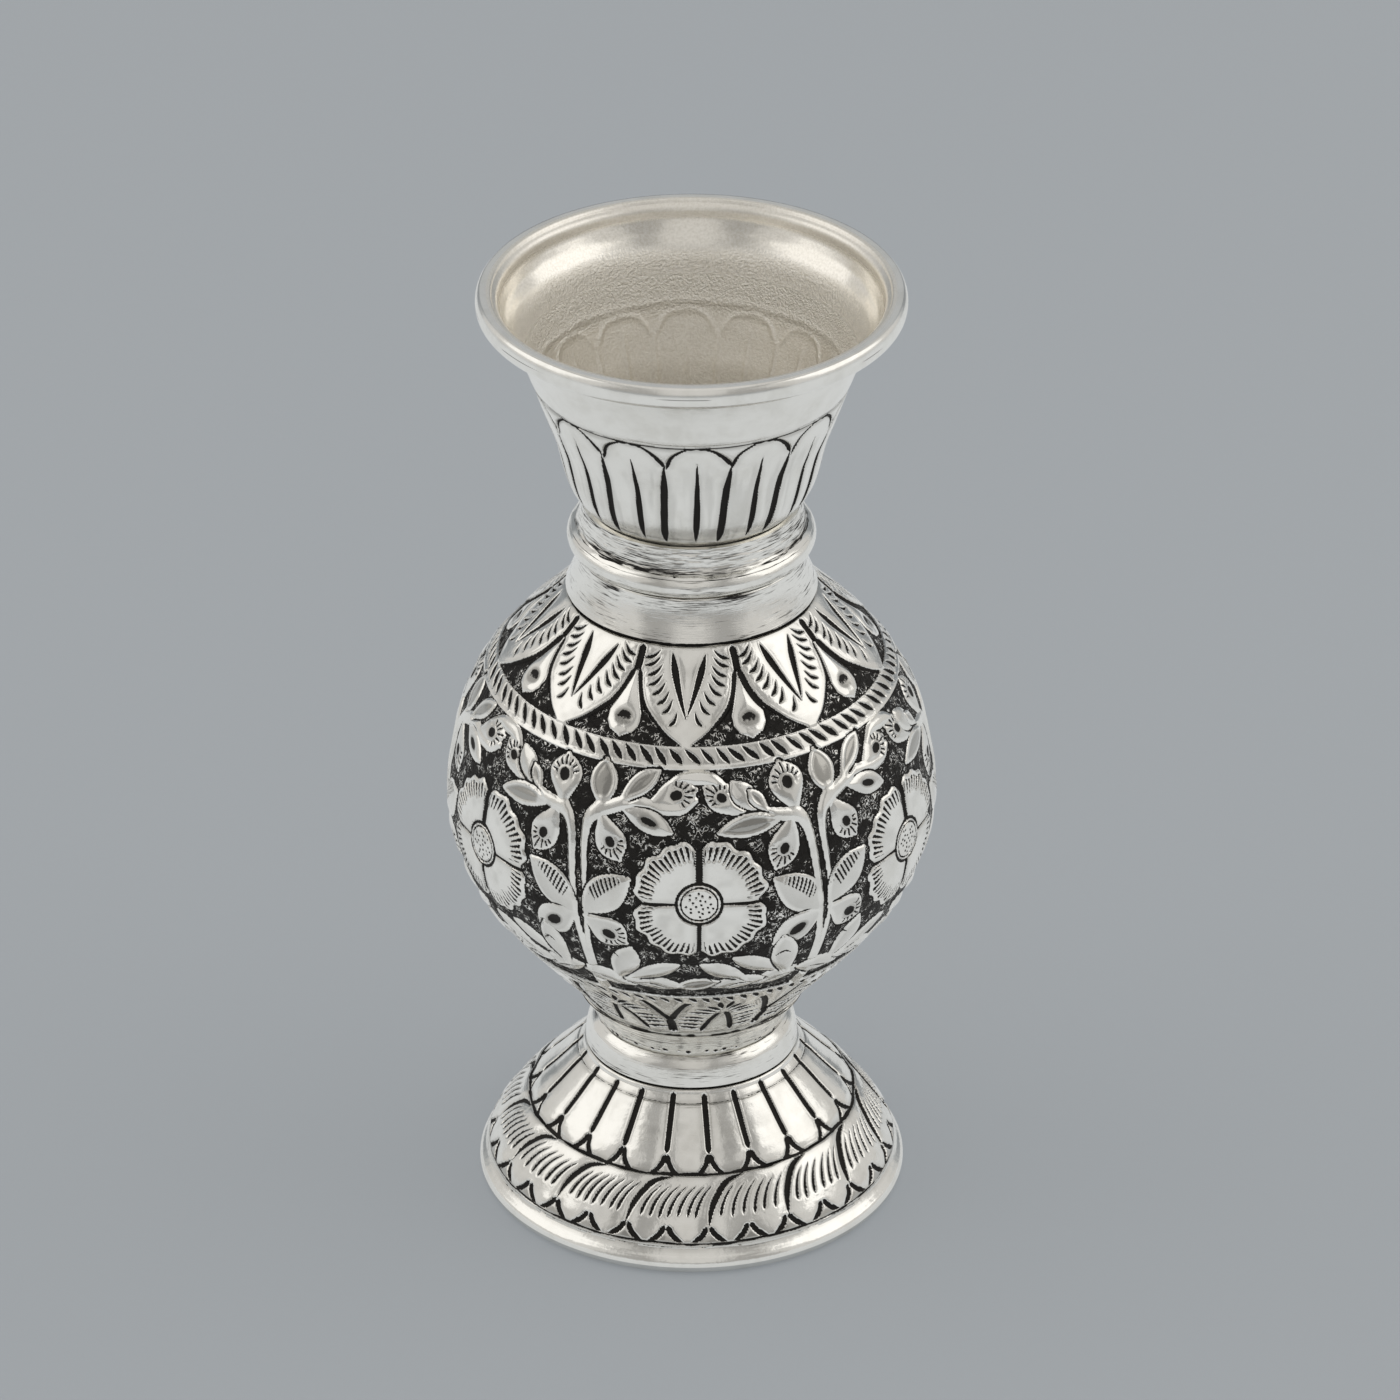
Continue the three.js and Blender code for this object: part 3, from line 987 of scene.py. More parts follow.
def slanting_leaf(face, angle, random):
    """The curved line between two leaves of the band and the hatching of the leaf to its right."""
    path = placed(angle, [(12.9, 14.4), (7.3, 15.2), (3.7, 17.0), (1.2, 19.3), (0.0, 22.0)])
    slope_leaf(face, path)
    groove(face, path, 0.95, start=0.35, end=0.3, swell=0.1)
    strokes = 6 + (random.uniform() > 0.45)
    for k in range(strokes):
        low = angle + 3.9 + k * 16.8 / (strokes - 1) + random.uniform(-0.3, 0.3)
        bottom = 20.7 + random.uniform(-0.2, 0.2)
        groove(face, [(low + 5.7, 15.8), (low + 2.9, 17.2), (low + 1.0, 18.9), (low, bottom)], 0.46,
               depth=0.28, start=0.7, end=0.12, swell=0.1, reach=0.4)


def slope_leaf(face, path):
    """Each leaf of the band rises from the line on its left."""
    path = curve_through(path)
    patch = around_path(face, path, 3.2)
    distance, _, side = patch.along(path)
    patch.sink(np.where(side < 0, 0.3, 0.12) * np.exp(-((distance / 1.5) ** 2)) * ease(23.6, 22.2, patch.v))


def scallop(face, angle, random):
    """The notch between two scallops of the border."""
    top = 22.0 + random.uniform(-0.1, 0.15)
    for side in (-1, 1):
        points = placed(angle, [(0.5, top), (1.5, 23.1), (3.0, 23.9), (4.9, 24.4)], side)
        groove(face, points, 0.84, start=0.12, end=0.35, swell=0.08, reach=0.4)
    patch = face.patch(angle - 3.5, angle + 3.5, 22.8, TREAD_LINE)
    inside = (patch.v - 23.2) * 1.6 - np.abs(patch.angle - angle) * patch.degree
    patch.dull(0.7 * ease(0.0, 0.5, inside))


# ---------------------------------------------------------------- meshes

# How many rows of the outside go to one row of the body's plain inner side.
INNER_STEP = 12


class Shell:
    """The rows of a closed shell as radii and heights by row and column, in mm."""

    def __init__(self, r, z, closed):
        self.r, self.z, self.closed = r, z, closed


def moved(rows, relief):
    """A piece's rows moved outwards by the relief, and never below the floor."""
    r = rows.r[:, None] + relief * rows.nr[:, None]
    z = np.clip(rows.z[:, None] + relief * rows.nz[:, None], 0, None)
    return Shell(r, z, rows.closed)


def shell_faces(shell):
    """A shell wrapped round the axis: its points, its faces' corners in a row and where each face begins."""
    number, columns = shell.r.shape
    angle = np.radians(np.arange(columns) * 360 / columns - 180)
    places = np.stack([shell.r * np.sin(angle), -shell.r * np.cos(angle), shell.z], axis=-1)
    spans = number if shell.closed else number - 1
    i, j = np.arange(spans)[:, None], np.arange(columns)[None, :]
    below, beyond = (i + 1) % number, (j + 1) % columns
    quads = (i * columns + j, below * columns + j, below * columns + beyond, i * columns + beyond)
    loops = np.stack(quads, axis=-1).reshape(-1)
    return places.reshape(-1, 3), loops, np.arange(spans * columns) * 4


def close_ends(shell, places, loops, starts):
    """The same three, with a fan of triangles round a point on the axis at each end of the shell."""
    number, columns = shell.r.shape
    poles = [[0, 0, shell.z[0].mean()], [0, 0, shell.z[-1].mean()]]
    first, last = len(places), (number - 1) * columns
    j = np.arange(columns)
    beyond = (j + 1) % columns
    top = np.stack([np.full(columns, first), j, beyond], axis=-1).reshape(-1)
    low = np.stack([np.full(columns, first + 1), last + beyond, last + j], axis=-1).reshape(-1)
    starts = np.concatenate([starts, len(loops) + np.arange(2 * columns) * 3])
    return np.vstack([places, poles]), np.concatenate([loops, top, low]), starts


def shell_mesh(name, shell, fields):
    """A shell's mesh, smooth but for its sharp corners, with the fields as its attributes."""
    places, loops, starts = shell_faces(shell)
    if not shell.closed:
        places, loops, starts = close_ends(shell, places, loops, starts)
    mesh = bpy.data.meshes.new(name)
    mesh.vertices.add(len(places))
    mesh.vertices.foreach_set("co", (places * MM).ravel())
    mesh.loops.add(len(loops))
    mesh.loops.foreach_set("vertex_index", loops.astype(np.int32))
    mesh.polygons.add(len(starts))
    mesh.polygons.foreach_set("loop_start", starts.astype(np.int32))
    mesh.polygons.foreach_set("use_smooth", np.ones(len(starts), dtype=bool))
    for key, values in fields.items():
        filled = np.zeros(len(places), dtype=np.float32)
        filled[: values.size] = values.ravel()
        mesh.attributes.new(key, "FLOAT", "POINT").data.foreach_set("value", filled)
    mesh.update(calc_edges=True)
    face_outwards(mesh)
    mesh.set_sharp_from_angle(angle=math.radians(SHARP_DEG))
    return mesh


def face_outwards(mesh):
    """Turns a closed mesh's faces outwards if its volume comes out negative."""
    mesh.calc_loop_triangles()
    triangles = np.empty(len(mesh.loop_triangles) * 3, dtype=np.int32)
    mesh.loop_triangles.foreach_get("vertices", triangles)
    places = np.empty(len(mesh.vertices) * 3)
    mesh.vertices.foreach_get("co", places)
    a, b, c = places.reshape(-1, 3)[triangles.reshape(-1, 3)].transpose(1, 0, 2)
    if np.sum(a * np.cross(b, c)) < 0:
        mesh.flip_normals()


def add_piece(name, node, shell, material, fields):
    """A piece of the vase that stands for a CAD node."""
    mesh = shell_mesh(name, shell, fields)
    mesh.materials.append(material)
    piece = bpy.data.objects.new(name, mesh)
    bpy.context.scene.collection.objects.link(piece)
    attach(piece, "root")
    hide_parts(node)


def chosen_rows(rows, wanted):
    """The indices of the rows that are wanted, in order from the top down."""
    picked = np.nonzero(wanted)[0]
    gap = np.nonzero(np.diff(picked) > 1)[0]
    if len(gap):
        picked = np.roll(picked, -(gap[0] + 1))
    return picked if rows.z[picked[0]] > rows.z[picked[-1]] else picked[::-1]


# ---------------------------------------------------------------- materials

OXIDE = (0.034, 0.032, 0.030, 1)
LAMP_TONE = (1.0, 0.985, 0.955)
SILVER = (0.905, 0.893, 0.855, 1)
WORN_SILVER = (0.815, 0.800, 0.755, 1)
MATT_SILVER = (0.920, 0.890, 0.830, 1)
DULL_SILVER = (0.820, 0.785, 0.715, 1)
# The colour of tarnish, and of the painted shade on the leaves.
TARNISH = (0.36, 0.35, 0.325, 1)
GRIME = (0.20, 0.19, 0.175, 1)
PAPER = (0.262, 0.282, 0.304, 1)
PALE_PAPER = (0.268, 0.288, 0.310, 1)
PAPER_GLOW = (0.94, 1.0, 1.05, 1)


# The Mix node's sockets, which it lists for numbers, vectors and colours in turn.
NUMBER_A, NUMBER_B, NUMBER_OUT = 2, 3, 0
COLOUR_A, COLOUR_B, COLOUR_OUT = 6, 7, 2


class Finish:
    """A material being built: a Principled shader with short calls for the nodes that feed it."""

    def __init__(self, name, metallic=1.0, **constants):
        self.material = bpy.data.materials.new(name)
        self.material.use_nodes = True
        self.tree = self.material.node_tree
        self.tree.nodes.clear()
        self.shader = self.add("ShaderNodeBsdfPrincipled")
        self.shader.inputs["Metallic"].default_value = metallic
        for key, value in constants.items():
            self.shader.inputs[key.replace("_", " ").title()].default_value = value
        output = self.add("ShaderNodeOutputMaterial")
        self.tree.links.new(self.shader.outputs[0], output.inputs["Surface"])
        self.place = self.add("ShaderNodeTexCoord").outputs["Object"]

    def add(self, kind, **values):
        """A new node with its settings."""
        node = self.tree.nodes.new(kind)
        for key, value in values.items():
            setattr(node, key, value)
        return node

    def wire(self, socket, value):
        """Sets a socket to a number or links it to another socket."""
        if isinstance(value, bpy.types.NodeSocket):
            self.tree.links.new(value, socket)
        else:
            socket.default_value = value

    def field(self, name):
        """One of the mesh's attributes."""
        return self.add("ShaderNodeAttribute", attribute_name=name).outputs["Fac"]

    def stretched(self, factors):
        """The place on the piece with each axis scaled by its factor."""
        node = self.add("ShaderNodeVectorMath", operation="MULTIPLY")
        self.wire(node.inputs[0], self.place)
        node.inputs[1].default_value = factors
        return node.outputs[0]

    def noise(self, scale, detail=3.0, roughness=0.55, stretch=None, distortion=0.0):
        """Noise over the piece, from 0 to 1."""
        node = self.add("ShaderNodeTexNoise")
        self.wire(node.inputs["Vector"], self.stretched(stretch) if stretch else self.place)
        node.inputs["Scale"].default_value = scale
        node.inputs["Detail"].default_value = detail
        node.inputs["Roughness"].default_value = roughness
        node.inputs["Distortion"].default_value = distortion
        return node.outputs["Fac"]

    def step(self, value, low, high, to_low=0.0, to_high=1.0):
        """A smooth step as a value goes from low to high."""
        node = self.add("ShaderNodeMapRange", interpolation_type="SMOOTHSTEP")
        self.wire(node.inputs["Value"], value)
        for socket, number in (
            ("From Min", low), ("From Max", high), ("To Min", to_low), ("To Max", to_high),
        ):
            node.inputs[socket].default_value = number
        return node.outputs["Result"]

    def math(self, operation, a, b):
        """A sum, product or the like of two numbers."""
        node = self.add("ShaderNodeMath", operation=operation)
        self.wire(node.inputs[0], a)
        self.wire(node.inputs[1], b)
        return node.outputs[0]

    def mix(self, share, a, b):
        """A colour between a and b."""
        node = self.add("ShaderNodeMix", data_type="RGBA")
        self.wire(node.inputs[0], share)
        self.wire(node.inputs[COLOUR_A], a)
        self.wire(node.inputs[COLOUR_B], b)
        return node.outputs[COLOUR_OUT]

    def blend(self, share, a, b):
        """A number between a and b."""
        node = self.add("ShaderNodeMix", data_type="FLOAT")
        self.wire(node.inputs[0], share)
        self.wire(node.inputs[NUMBER_A], a)
        self.wire(node.inputs[NUMBER_B], b)
        return node.outputs[NUMBER_OUT]

    def bump(self, height, distance_mm, under=None):
        """The normal of a surface that a height makes uneven, on top of the unevenness under it."""
        node = self.add("ShaderNodeBump")
        node.inputs["Strength"].default_value = 1.0
        node.inputs["Distance"].default_value = distance_mm * MM
        self.wire(node.inputs["Height"], height)
        if under is not None:
            self.wire(node.inputs["Normal"], under)
        return node.outputs["Normal"]

    def surface(self, colour, roughness, normal):
        """The finished material."""
        self.wire(self.shader.inputs["Base Color"], colour)
        self.wire(self.shader.inputs["Roughness"], roughness)
        self.wire(self.shader.inputs["Normal"], normal)
        return self.material


def silver_tone(finish):
    """Silver that is a little darker or warmer from place to place."""
    cloud = finish.noise(160, detail=6, roughness=0.65)
    return finish.mix(finish.step(cloud, 0.42, 0.72), SILVER, WORN_SILVER)


def brushed(finish, low, high):
    """The roughness of wiped and burnished silver, with faint scratches round the axis."""
    scratch = finish.noise(1.0, detail=4, stretch=(140, 140, 5200))
    cloud = finish.noise(260, detail=3)
    return finish.blend(finish.math("MULTIPLY", scratch, cloud), low, high)


def chased_silver():
    """Polished silver whose cuts and beaten ground are blackened, with bright grains left on the ground."""
    finish = Finish("chased_silver")
    edge = finish.noise(2600, detail=2)
    black = finish.math("ADD", finish.field("dark"), finish.step(edge, 0.2, 0.8, -0.17, 0.17))
    black = finish.step(black, 0.38, 0.66)
    worm = finish.noise(1150, detail=1, roughness=0.5, distortion=1.2)
    band = finish.math("ABSOLUTE", finish.math("SUBTRACT", worm, 0.5), 0.0)
    patchy = finish.noise(520, detail=2)
    grain = finish.math("MULTIPLY", finish.step(band, 0.040, 0.018), finish.step(patchy, 0.46, 0.57))
    grain = finish.math("MULTIPLY", grain, finish.step(finish.field("ground"), 0.35, 0.8))
    covered = finish.math("SUBTRACT", black, finish.math("MULTIPLY", grain, 0.95))
    # This field holds real tarnish and, on the leaves, painted shade.
    colour = finish.mix(finish.field("tarnish"), silver_tone(finish), TARNISH)
    colour = finish.mix(covered, colour, OXIDE)
    roughness = finish.blend(covered, brushed(finish, 0.11, 0.40), 0.6)
    dents = finish.bump(finish.noise(650, detail=3), 0.05)
    rough = finish.bump(finish.math("MULTIPLY", worm, finish.field("ground")), 0.5, dents)
    return finish.surface(colour, roughness, rough)


def plain_silver():
    """Turned and wiped silver with scratches round the axis and black left in its pits."""
    finish = Finish("plain_silver")
    streak = finish.noise(1.0, detail=6, roughness=0.6, stretch=(300, 300, 5200))
    level = finish.math("ADD", streak, finish.math("MULTIPLY", finish.field("foul"), 0.25))
    pits = finish.step(finish.field("dark"), 0.3, 0.7)
    black = finish.math("MAXIMUM", pits, finish.step(level, 0.70, 0.76))
    grime = finish.math("MULTIPLY", finish.step(level, 0.60, 0.72), 0.7)
    colour = finish.mix(black, finish.mix(grime, silver_tone(finish), GRIME), OXIDE)
    roughness = finish.blend(black, brushed(finish, 0.06, 0.30), 0.6)
    return finish.surface(colour, roughness, finish.bump(streak, 0.03))


def funnel_silver():
    """Burnished silver outside; inside, matt and sandy as it came from the pickle."""
    finish = Finish("funnel_silver")
    inside = finish.field("inside")
    # The dark field also holds the painted shade of the lip's creases.
    black = finish.step(finish.field("dark"), 0.38, 0.66)
    sand = finish.noise(2700, detail=3, roughness=0.65)
    matt = finish.mix(finish.step(sand, 0.35, 0.7), MATT_SILVER, DULL_SILVER)
    outer = finish.mix(finish.field("tarnish"), silver_tone(finish), TARNISH)
    colour = finish.mix(black, finish.mix(inside, outer, matt), OXIDE)
    roughness = finish.blend(inside, brushed(finish, 0.16, 0.40), finish.field("satin"))
    roughness = finish.blend(black, roughness, 0.62)
    grit = finish.bump(finish.math("MULTIPLY", sand, finish.field("sand")), 0.42)
    return finish.surface(colour, roughness, finish.bump(finish.noise(500, detail=3), 0.03, grit))


def wire_silver():
    """Drawn silver wire."""
    finish = Finish("wire_silver")
    streak = finish.noise(1.0, detail=3, stretch=(4000, 4000, 300))
    return finish.surface(silver_tone(finish), brushed(finish, 0.28, 0.45), finish.bump(streak, 0.02))


def floor_paper():
    """Smooth grey paper."""
    finish = Finish("floor_paper", metallic=0.0, roughness=0.9, emission_strength=0.18)
    finish.shader.inputs["Emission Color"].default_value = PAPER_GLOW
    fibre = finish.noise(900, detail=3)
    finish.wire(finish.shader.inputs["Base Color"], finish.mix(fibre, PAPER, PALE_PAPER))
    return finish.material


# ---------------------------------------------------------------- pieces

BODY_COLUMNS, BODY_STEP = 1200, 0.2
FUNNEL_COLUMNS, FOOT_COLUMNS = 800, 960

# Levels in mm above the floor: where the body's stretches meet, and what of it is seen and chased.
SHOULDER_SPLIT, CALYX_SPLIT = FIELD_TOP, 47.3
BODY_HIDDEN, CHASED_FOOT, CHASED_TOP = 32.9, 34.0, 101.6

# Radii in mm: a point within ON_AXIS is on the axis, the inner side of a sheet keeps OFF_AXIS from it, rows
# within FAN_RADIUS give way to a fan, and a stretch that ends beyond CLEAR_OF_AXIS is a loop.
ON_AXIS, OFF_AXIS, FAN_RADIUS, CLEAR_OF_AXIS = 0.01, 0.02, 0.05, 1

# The fillet of solder as (r, z) points in mm.
SOLDER = [[16.75, 112.95], [17.1, 112.2], [17.95, 111.55], [16.9, 112.12]]


def outline(node, reshape=None):
    """A node's smooth outline, and whether it is a loop or has its ends on the axis."""
    points = section(node)
    closed = points[0][0] > ON_AXIS
    return rounded(reshape(points) if reshape else points, closed), closed


def build_body(material):
    """The body as three stretches of one sheet, which meet in chased lines."""
    curve, _ = outline("body")
    if curve[0, 1] > curve[-1, 1]:
        curve = curve[::-1]
    outer = curve[: int(np.argmax(curve[:, 1])) + 1][::-1]
    rows = Rows(outer, False, body_spacing)
    face = Face(rows, np.arange(len(rows.r)), BODY_COLUMNS)
    face.height -= BASE
    chase_shoulder(face)
    chase_field(face)
    chase_calyx(face)
    face.planish(3.2, 0.04, 61)
    face.planish(1.5, 0.018, 63)
    roughen_ground(face)
    weather(face, 0.24, 65)
    chased = ease(CHASED_FOOT - 0.4, CHASED_FOOT, rows.z) * ease(CHASED_TOP + 0.3, CHASED_TOP, rows.z)
    relief = np.clip(face.height * chased[:, None], -MAX_DEPTH, 0)
    upper = int(np.argmax(rows.z <= SHOULDER_SPLIT))
    lower = int(np.argmax(rows.z <= CALYX_SPLIT))
    last = len(rows.r) - 1
    for name, first, end in (
        ("body_shoulder", 0, upper), ("body_flowers", upper, lower), ("body_calyx", lower, last),
    ):
        shell, fields = body_stretch(rows, face, relief, first, end)
        add_piece(name, "body", shell, material, fields)


def body_spacing(r, z, nr, nz):
    """The distance between the body's rows: fine where it is seen, coarse inside the waist."""
    return np.where(z > BODY_HIDDEN, BODY_STEP, 1.0)


def roughen_ground(face):
    """The beaten ground's fine unevenness."""
    random = np.random.default_rng(62)
    face.height += face.ground * random.uniform(-0.05, 0.05, face.height.shape)


def weather(face, amount, seed):
    """Leaves thin clouds of tarnish over a face."""
    v = face.v[:, None]
    cells = face.cells_of(3.2)
    broad = lattice_noise(face.angle, v, cells, 3.2, seed)
    clouds = 0.6 * broad + 0.5 * lattice_noise(face.angle, v, cells * 3, 1.1, seed + 1)
    face.tarnish = np.maximum(face.tarnish, amount * ease(-0.1, 0.9, clouds))


def body_stretch(rows, face, relief, first, end):
    """A closed shell: the chased rows from first to end, and the sheet's plain inner side behind them."""
    outside = slice(first, end + 1)
    shell = moved(rows, relief)
    inner = np.unique(np.append(np.arange(end, first, -INNER_STEP), first))[::-1]
    inner_r = np.clip(rows.r[inner] - SHEET * rows.nr[inner], OFF_AXIS, None)
    inner_z = rows.z[inner] - SHEET * rows.nz[inner]
    columns = relief.shape[1]
    r = np.concatenate([shell.r[outside], np.repeat(inner_r[:, None], columns, axis=1)])
    z = np.concatenate([shell.z[outside], np.repeat(inner_z[:, None], columns, axis=1)])
    fields = {
        name: np.concatenate([getattr(face, name)[outside], np.zeros((len(inner), columns))])
        for name in ("dark", "ground", "tarnish")
    }
    closed = rows.r[end] > CLEAR_OF_AXIS
    if not closed:
        off_axis = np.nonzero(r.max(axis=1) > FAN_RADIUS)[0]
        behind = off_axis > end - first
        order = np.concatenate([off_axis[behind], off_axis[~behind]])
        r, z = r[order], z[order]
        fields = {name: values[order] for name, values in fields.items()}
    return Shell(r, z, closed), fields


def build_funnel(material):
    """The mouth funnel: fluted outside, faintly imprinted inside, with a rolled lip."""
    curve, closed = outline("mouth_funnel")
    rows = Rows(curve, closed, funnel_spacing)
    outward = (rows.nr > 0.3) & (rows.z > FLUTED_FOOT) & (rows.z < LIP_START)
    outside = Face(rows, chosen_rows(rows, outward), FUNNEL_COLUMNS)
    chase_funnel(outside)
    outside.height *= ease(LIP_START, LIP_START - 1.4, outside.z)[:, None]
    inward = (rows.nr < -0.3) & (rows.z > INSIDE_FOOT) & (rows.z < INSIDE_TOP)
    inside = Face(rows, chosen_rows(rows, inward), FUNNEL_COLUMNS)
    inside.planish(2.6, 0.03, 71)
    imprint_funnel(inside)
    inside.height = np.clip(inside.height - 0.2, -INNER_DEPTH, 0)
    inside.height *= ease(INSIDE_TOP, INSIDE_TOP - 1.5, inside.z)[:, None]
    flare = LIP_FLARE * ease(FLARE_START, FLARE_END, rows.z) * ease(-0.3, -0.6, rows.nr)
    lip = flat_lip(rows) + flare
    relief = np.clip(outside.spread("height"), -OUTER_DEPTH, 0) + inside.spread("height") - lip[:, None]
    shell = moved(rows, relief)
    shell.z += LIP_LIFT * ease(FLARE_END, FLARE_END + 1.7, rows.z)[:, None]
    fields = funnel_fields(rows, outside)
    add_piece("mouth_funnel_shell", "mouth_funnel", shell, material, fields)


def funnel_spacing(r, z, nr, nz):
    """The distance between the funnel's rows: fine where it is chased, coarse on its hidden spigot."""
    return np.where(z < SPIGOT_TOP, 1.0, np.where(nr > 0, 0.24, 0.36))


def funnel_fields(rows, outside):
    """Where the funnel is black or tarnished, where painted shade darkens the lip's roll, where it is its
    inside, how sandy that is and how matt.
    """
    inner = ease(0.3, 0.0, rows.nr)
    sand = inner * np.interp(rows.z, [134, 137, 142, 144.5], [0.25, 1.0, 1.0, 0.0])
    satin = np.interp(rows.z, [133, 137, 142, 146], [0.44, 0.30, 0.26, 0.22]) + 0.14 * ease(147, 149, rows.z)
    return {
        # The lip's two dark lines are painted shade.
        "dark": np.maximum(outside.spread("dark"), lip_lines(rows)),
        "tarnish": outside.spread("tarnish"),
        "inside": across(inner),
        "sand": across(sand),
        "satin": across(satin),
    }


def across(values):
    """One value for each row of the funnel, spread over all its columns."""
    return np.repeat(values[:, None], FUNNEL_COLUMNS, axis=1)


def roll_angle(rows):
    """Each row's angle round the lip's roll in degrees: 0 faces outwards, 90 up, and OFF_ROLL is below it."""
    return np.where(rows.z > LIP_FOOT, np.degrees(np.arctan2(rows.nz, rows.nr)), OFF_ROLL)


def flat_lip(rows):
    """How far the roll is beaten flat on top, in mm."""
    turn = np.radians(np.clip(roll_angle(rows) - LIP_FLAT, -LIP_HALF, LIP_HALF))
    seen = np.abs(roll_angle(rows) - LIP_FLAT) < LIP_HALF
    return np.where(seen, LIP_SHARE * LIP_ROLL * (1 - math.cos(math.radians(LIP_HALF)) / np.cos(turn)), 0)


def lip_lines(rows):
    """Two dark broken lines round the outside of the lip's roll: painted shade of the creases under its edge
    and under the wire.
    """
    angle = (np.arange(FUNNEL_COLUMNS) * 360 / FUNNEL_COLUMNS - 180)[None, :]
    lines = np.zeros((len(rows.r), FUNNEL_COLUMNS))
    for place, width, seed in ((4, 5, 72), (-38, 4, 73)):
        line = np.exp(-(((roll_angle(rows) - place) / width) ** 2))[:, None]
        patchy = ease(-0.5, 0.4, lattice_noise(angle, np.zeros((1, 1)), 26, 1, seed))
        lines = np.maximum(lines, 0.62 * line * patchy)
    return lines


def build_foot(material):
    """The foot dome: fluted and chased outside, plain inside, with a rolled tread."""
    curve, closed = outline("foot_dome")
    rows = Rows(curve, closed, foot_spacing)
    outward = (rows.nr > 0.05) & (rows.r > FOOT_HIDDEN_RADIUS) & (rows.z > ROLLED_RIM)
    face = Face(rows, chosen_rows(rows, outward), FOOT_COLUMNS)
    chase_foot(face)
    weather(face, 0.18, 57)
    chased = ease(ROLLED_RIM, ROLLED_RIM + 0.6, face.z) * ease(FOOT_TOP, FOOT_TOP - 0.5, face.z)
    face.height *= chased[:, None]
    relief = np.clip(face.spread("height"), -MAX_DEPTH, 0)
    fields = {name: face.spread(name) for name in ("dark", "ground", "tarnish")}
    add_piece("foot_dome_shell", "foot_dome", moved(rows, relief), material, fields)


def foot_spacing(r, z, nr, nz):
    """The distance between the foot's rows: fine where it is chased, coarse underneath."""
    return np.where((nr > 0) & (z > 4.0), 0.2, np.where(nr > 0, 0.3, 0.8))


def build_turned(node, material, uneven=0.0, streaks=0.0, foul=(0, 0), pits=0, seed=0,
                 columns=400, step=0.3, reshape=None):
    """A plain turned piece, slightly uneven, with black left in the scratches and pits round it."""
    curve, closed = outline(node, reshape)
    rows = Rows(curve, closed, lambda r, z, nr, nz: np.where(nr > -0.3, step, 1.0))
    face = Face(rows, chosen_rows(rows, rows.nr > 0.1), columns)
    if uneven:
        face.planish(2.5, uneven, seed)
    if streaks:
        scratch_round(face, streaks, foul, seed)
    pit_row(face, pits, seed + 5)
    relief = np.clip(face.spread("height"), -MAX_DEPTH, 0)
    fields = {"dark": face.spread("dark"), "foul": face.spread("tarnish")}
    add_piece(node + "_shell", node, moved(rows, relief), material, fields)


def solder_foot(points):
    """The socket's outline with its foot spread over the ring below it by a fillet of solder."""
    foot = int(np.argmax(points[:, 0] - points[:, 1]))
    spread = np.array(SOLDER)
    if points[foot - 1][1] < points[foot][1] + 0.5:
        spread = spread[::-1]
    return np.concatenate([points[:foot], spread, points[foot + 1 :]])


def scratch_round(face, amount, foul, seed):
    """Scratches round a piece, and how much black clings to them. Foul is how much more at top and foot."""
    v = face.v[:, None]
    cells = face.cells_of(2.4)
    coarse = lattice_noise(face.angle, v, cells, 0.34, seed)
    streak = 0.6 * coarse + 0.5 * lattice_noise(face.angle, v, cells * 2, 0.2, seed + 1)
    patchy = lattice_noise(face.angle, v, cells // 3, 1.6, seed + 2)
    share = v / face.v.max()
    edge = foul[0] * ease(0.45, 0.0, share) + foul[1] * ease(0.5, 1.0, share)
    face.height -= 0.09 * amount * (1 + streak)
    face.tarnish = np.clip(0.4 * amount + edge * (1 + 0.8 * patchy) + 0.35 * patchy, 0, 1)


def pit_row(face, count, seed):
    """Small black pits in a row near the foot of a piece, where the solder didn't quite fill the joint."""
    random = np.random.default_rng(seed)
    for angle in random.uniform(-180, 180, count):
        radius = random.uniform(0.14, 0.36)
        place = face.v.max() - 0.55 + random.uniform(-0.2, 0.2)
        patch = face.patch(angle - 4, angle + 4, place - 0.8, place + 0.8)
        distance = np.hypot((patch.angle - angle) * patch.degree, patch.v - place)
        patch.sink(0.22 * ease(radius + 0.08, radius * 0.4, distance))
        patch.darken(ease(radius + 0.06, radius - 0.06, distance))


def build_pieces():
    """Every piece of the vase, from the lip down."""
    plain = plain_silver()
    wire = wire_silver()
    build_turned("lip_wire", wire, columns=200)
    build_funnel(funnel_silver())
    build_turned("neck_socket", plain, uneven=0.03, streaks=0.9, foul=(0.15, 0.75), seed=81,
                 columns=600, step=0.12, reshape=solder_foot)
    build_turned("neck_ring", plain, uneven=0.035, streaks=0.05, foul=(0.2, 0.2), seed=82)
    build_turned("neck_collar", plain, uneven=0.035, streaks=0.2, foul=(0.4, 0.1), seed=93)
    chased = chased_silver()
    build_body(chased)
    build_turned("waist_cove", plain, uneven=0.04, streaks=0.35, foul=(0.0, 0.3), pits=90,
                 seed=84, columns=600, step=0.15)
    build_turned("waist_ring", plain, uneven=0.05, streaks=0.1, foul=(0.2, 0.2), seed=85)
    build_foot(chased)
    build_turned("foot_wire", wire, columns=200)


# ---------------------------------------------------------------- the studio

# What the lamps face.
VASE_MIDDLE = (0.0, 0.0, 0.075)


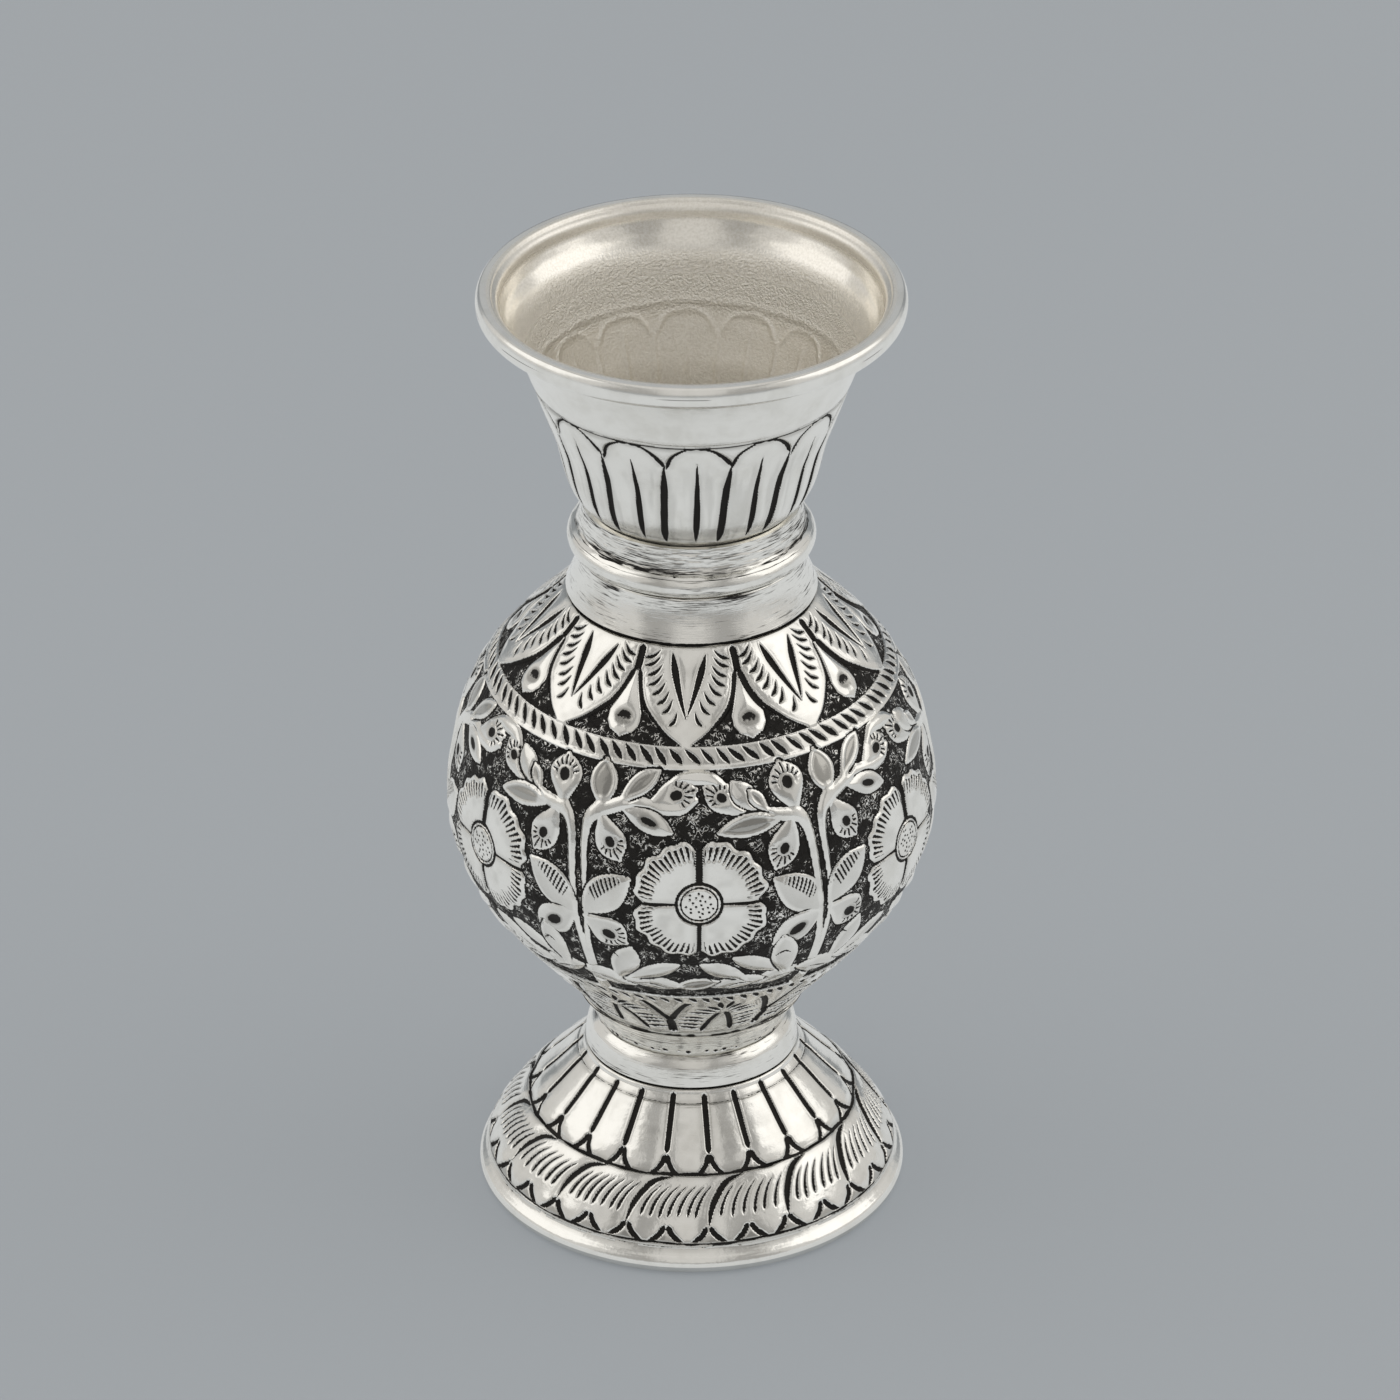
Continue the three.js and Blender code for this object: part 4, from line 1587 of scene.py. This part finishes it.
def build_floor():
    """A pale grey floor that bends up into a backdrop far behind."""
    size, rise, bend = 6.0, 3.5, 1.2
    start = size - bend
    profile = [(-size, 0.0), (start, 0.0)]
    for turn in np.linspace(0.1, math.pi / 2, 16):
        profile.append((start + bend * math.sin(turn), bend - bend * math.cos(turn)))
    profile.append((size, rise + bend))
    mesh = bpy.data.meshes.new("floor")
    places = [(x, y, z) for y, z in profile for x in (-size, size)]
    faces = [(2 * k, 2 * k + 1, 2 * k + 3, 2 * k + 2) for k in range(len(profile) - 1)]
    mesh.from_pydata(places, [], faces)
    mesh.polygons.foreach_set("use_smooth", np.ones(len(faces), dtype=bool))
    mesh.materials.append(floor_paper())
    floor = bpy.data.objects.new("floor", mesh)
    bpy.context.scene.collection.objects.link(floor)


def area_light(name, azimuth, elevation, distance, width, height, radiance, tone=LAMP_TONE):
    """A soft box that faces the middle of the vase. Azimuth 0 is the camera's side, 90 is +X."""
    a, e = math.radians(azimuth), math.radians(elevation)
    away = Vector((math.sin(a) * math.cos(e), -math.cos(a) * math.cos(e), math.sin(e)))
    data = bpy.data.lights.new(name, "AREA")
    data.shape = "RECTANGLE"
    data.size, data.size_y, data.color = width, height, tone
    data.energy = radiance * math.pi * width * height
    light = bpy.data.objects.new(name, data)
    light.location = Vector(VASE_MIDDLE) + away * distance
    light.rotation_mode = "QUATERNION"
    light.rotation_quaternion = away.to_track_quat("Z", "Y")
    bpy.context.scene.collection.objects.link(light)
    return light


def light_studio():
    """Large soft boxes at both sides, a mild strip in front and one behind, and a dim grey room."""
    for side in (-1, 1):
        area_light("box", side * 92, 24, 1.0, 2.1, 1.25, 0.26)
        area_light("lamp", side * 90, 38, 1.2, 1.0, 1.0, 0.52 + 0.06 * side)
    area_light("strip_front", 0, 38, 1.6, 0.95, 1.9, 0.27)
    area_light("strip_back", 180, 42, 1.6, 1.3, 1.8, 0.2)
    area_light("top", 0, 90, 1.5, 1.2, 1.2, 0.3)
    glow = area_light("floor_glow", 0, -90, 0.0735, 2.0, 2.0, 0.3)
    glow.visible_camera = False
    world = bpy.data.worlds.new("room")
    world.use_nodes = True
    background = world.node_tree.nodes["Background"]
    background.inputs["Color"].default_value = (*LAMP_TONE, 1)
    background.inputs["Strength"].default_value = 0.37
    bpy.context.scene.world = world


def place_camera():
    """The camera stands in front and above, tilted a little so that the vase sits right in the frame."""
    elevation = math.radians(CAMERA_ELEVATION)
    back = Vector((0, -math.cos(elevation), math.sin(elevation)))
    data = bpy.data.cameras.new("camera")
    data.lens, data.sensor_width = CAMERA_LENS, 36
    data.clip_start, data.clip_end = 0.05, 50
    camera = bpy.data.objects.new("camera", data)
    camera.location = Vector(COLLAR_MIDDLE) + back * CAMERA_DISTANCE
    camera.rotation_mode = "QUATERNION"
    tilt = Quaternion((1, 0, 0), -math.radians(CAMERA_TILT_DOWN))
    turn = Quaternion((0, 1, 0), -math.radians(CAMERA_TURN_RIGHT))
    camera.rotation_quaternion = (-back).to_track_quat("-Z", "Y") @ tilt @ turn
    bpy.context.scene.collection.objects.link(camera)
    bpy.context.scene.camera = camera


def clear_scene():
    """Removes whatever Blender starts with."""
    for item in list(bpy.data.objects):
        bpy.data.objects.remove(item)


def main():
    """Builds and lights the vase."""
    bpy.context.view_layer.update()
    build_pieces()
    build_floor()
    light_studio()
    place_camera()
    bpy.context.scene.view_settings.view_transform = "Standard"


clear_scene()
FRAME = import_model()
main()
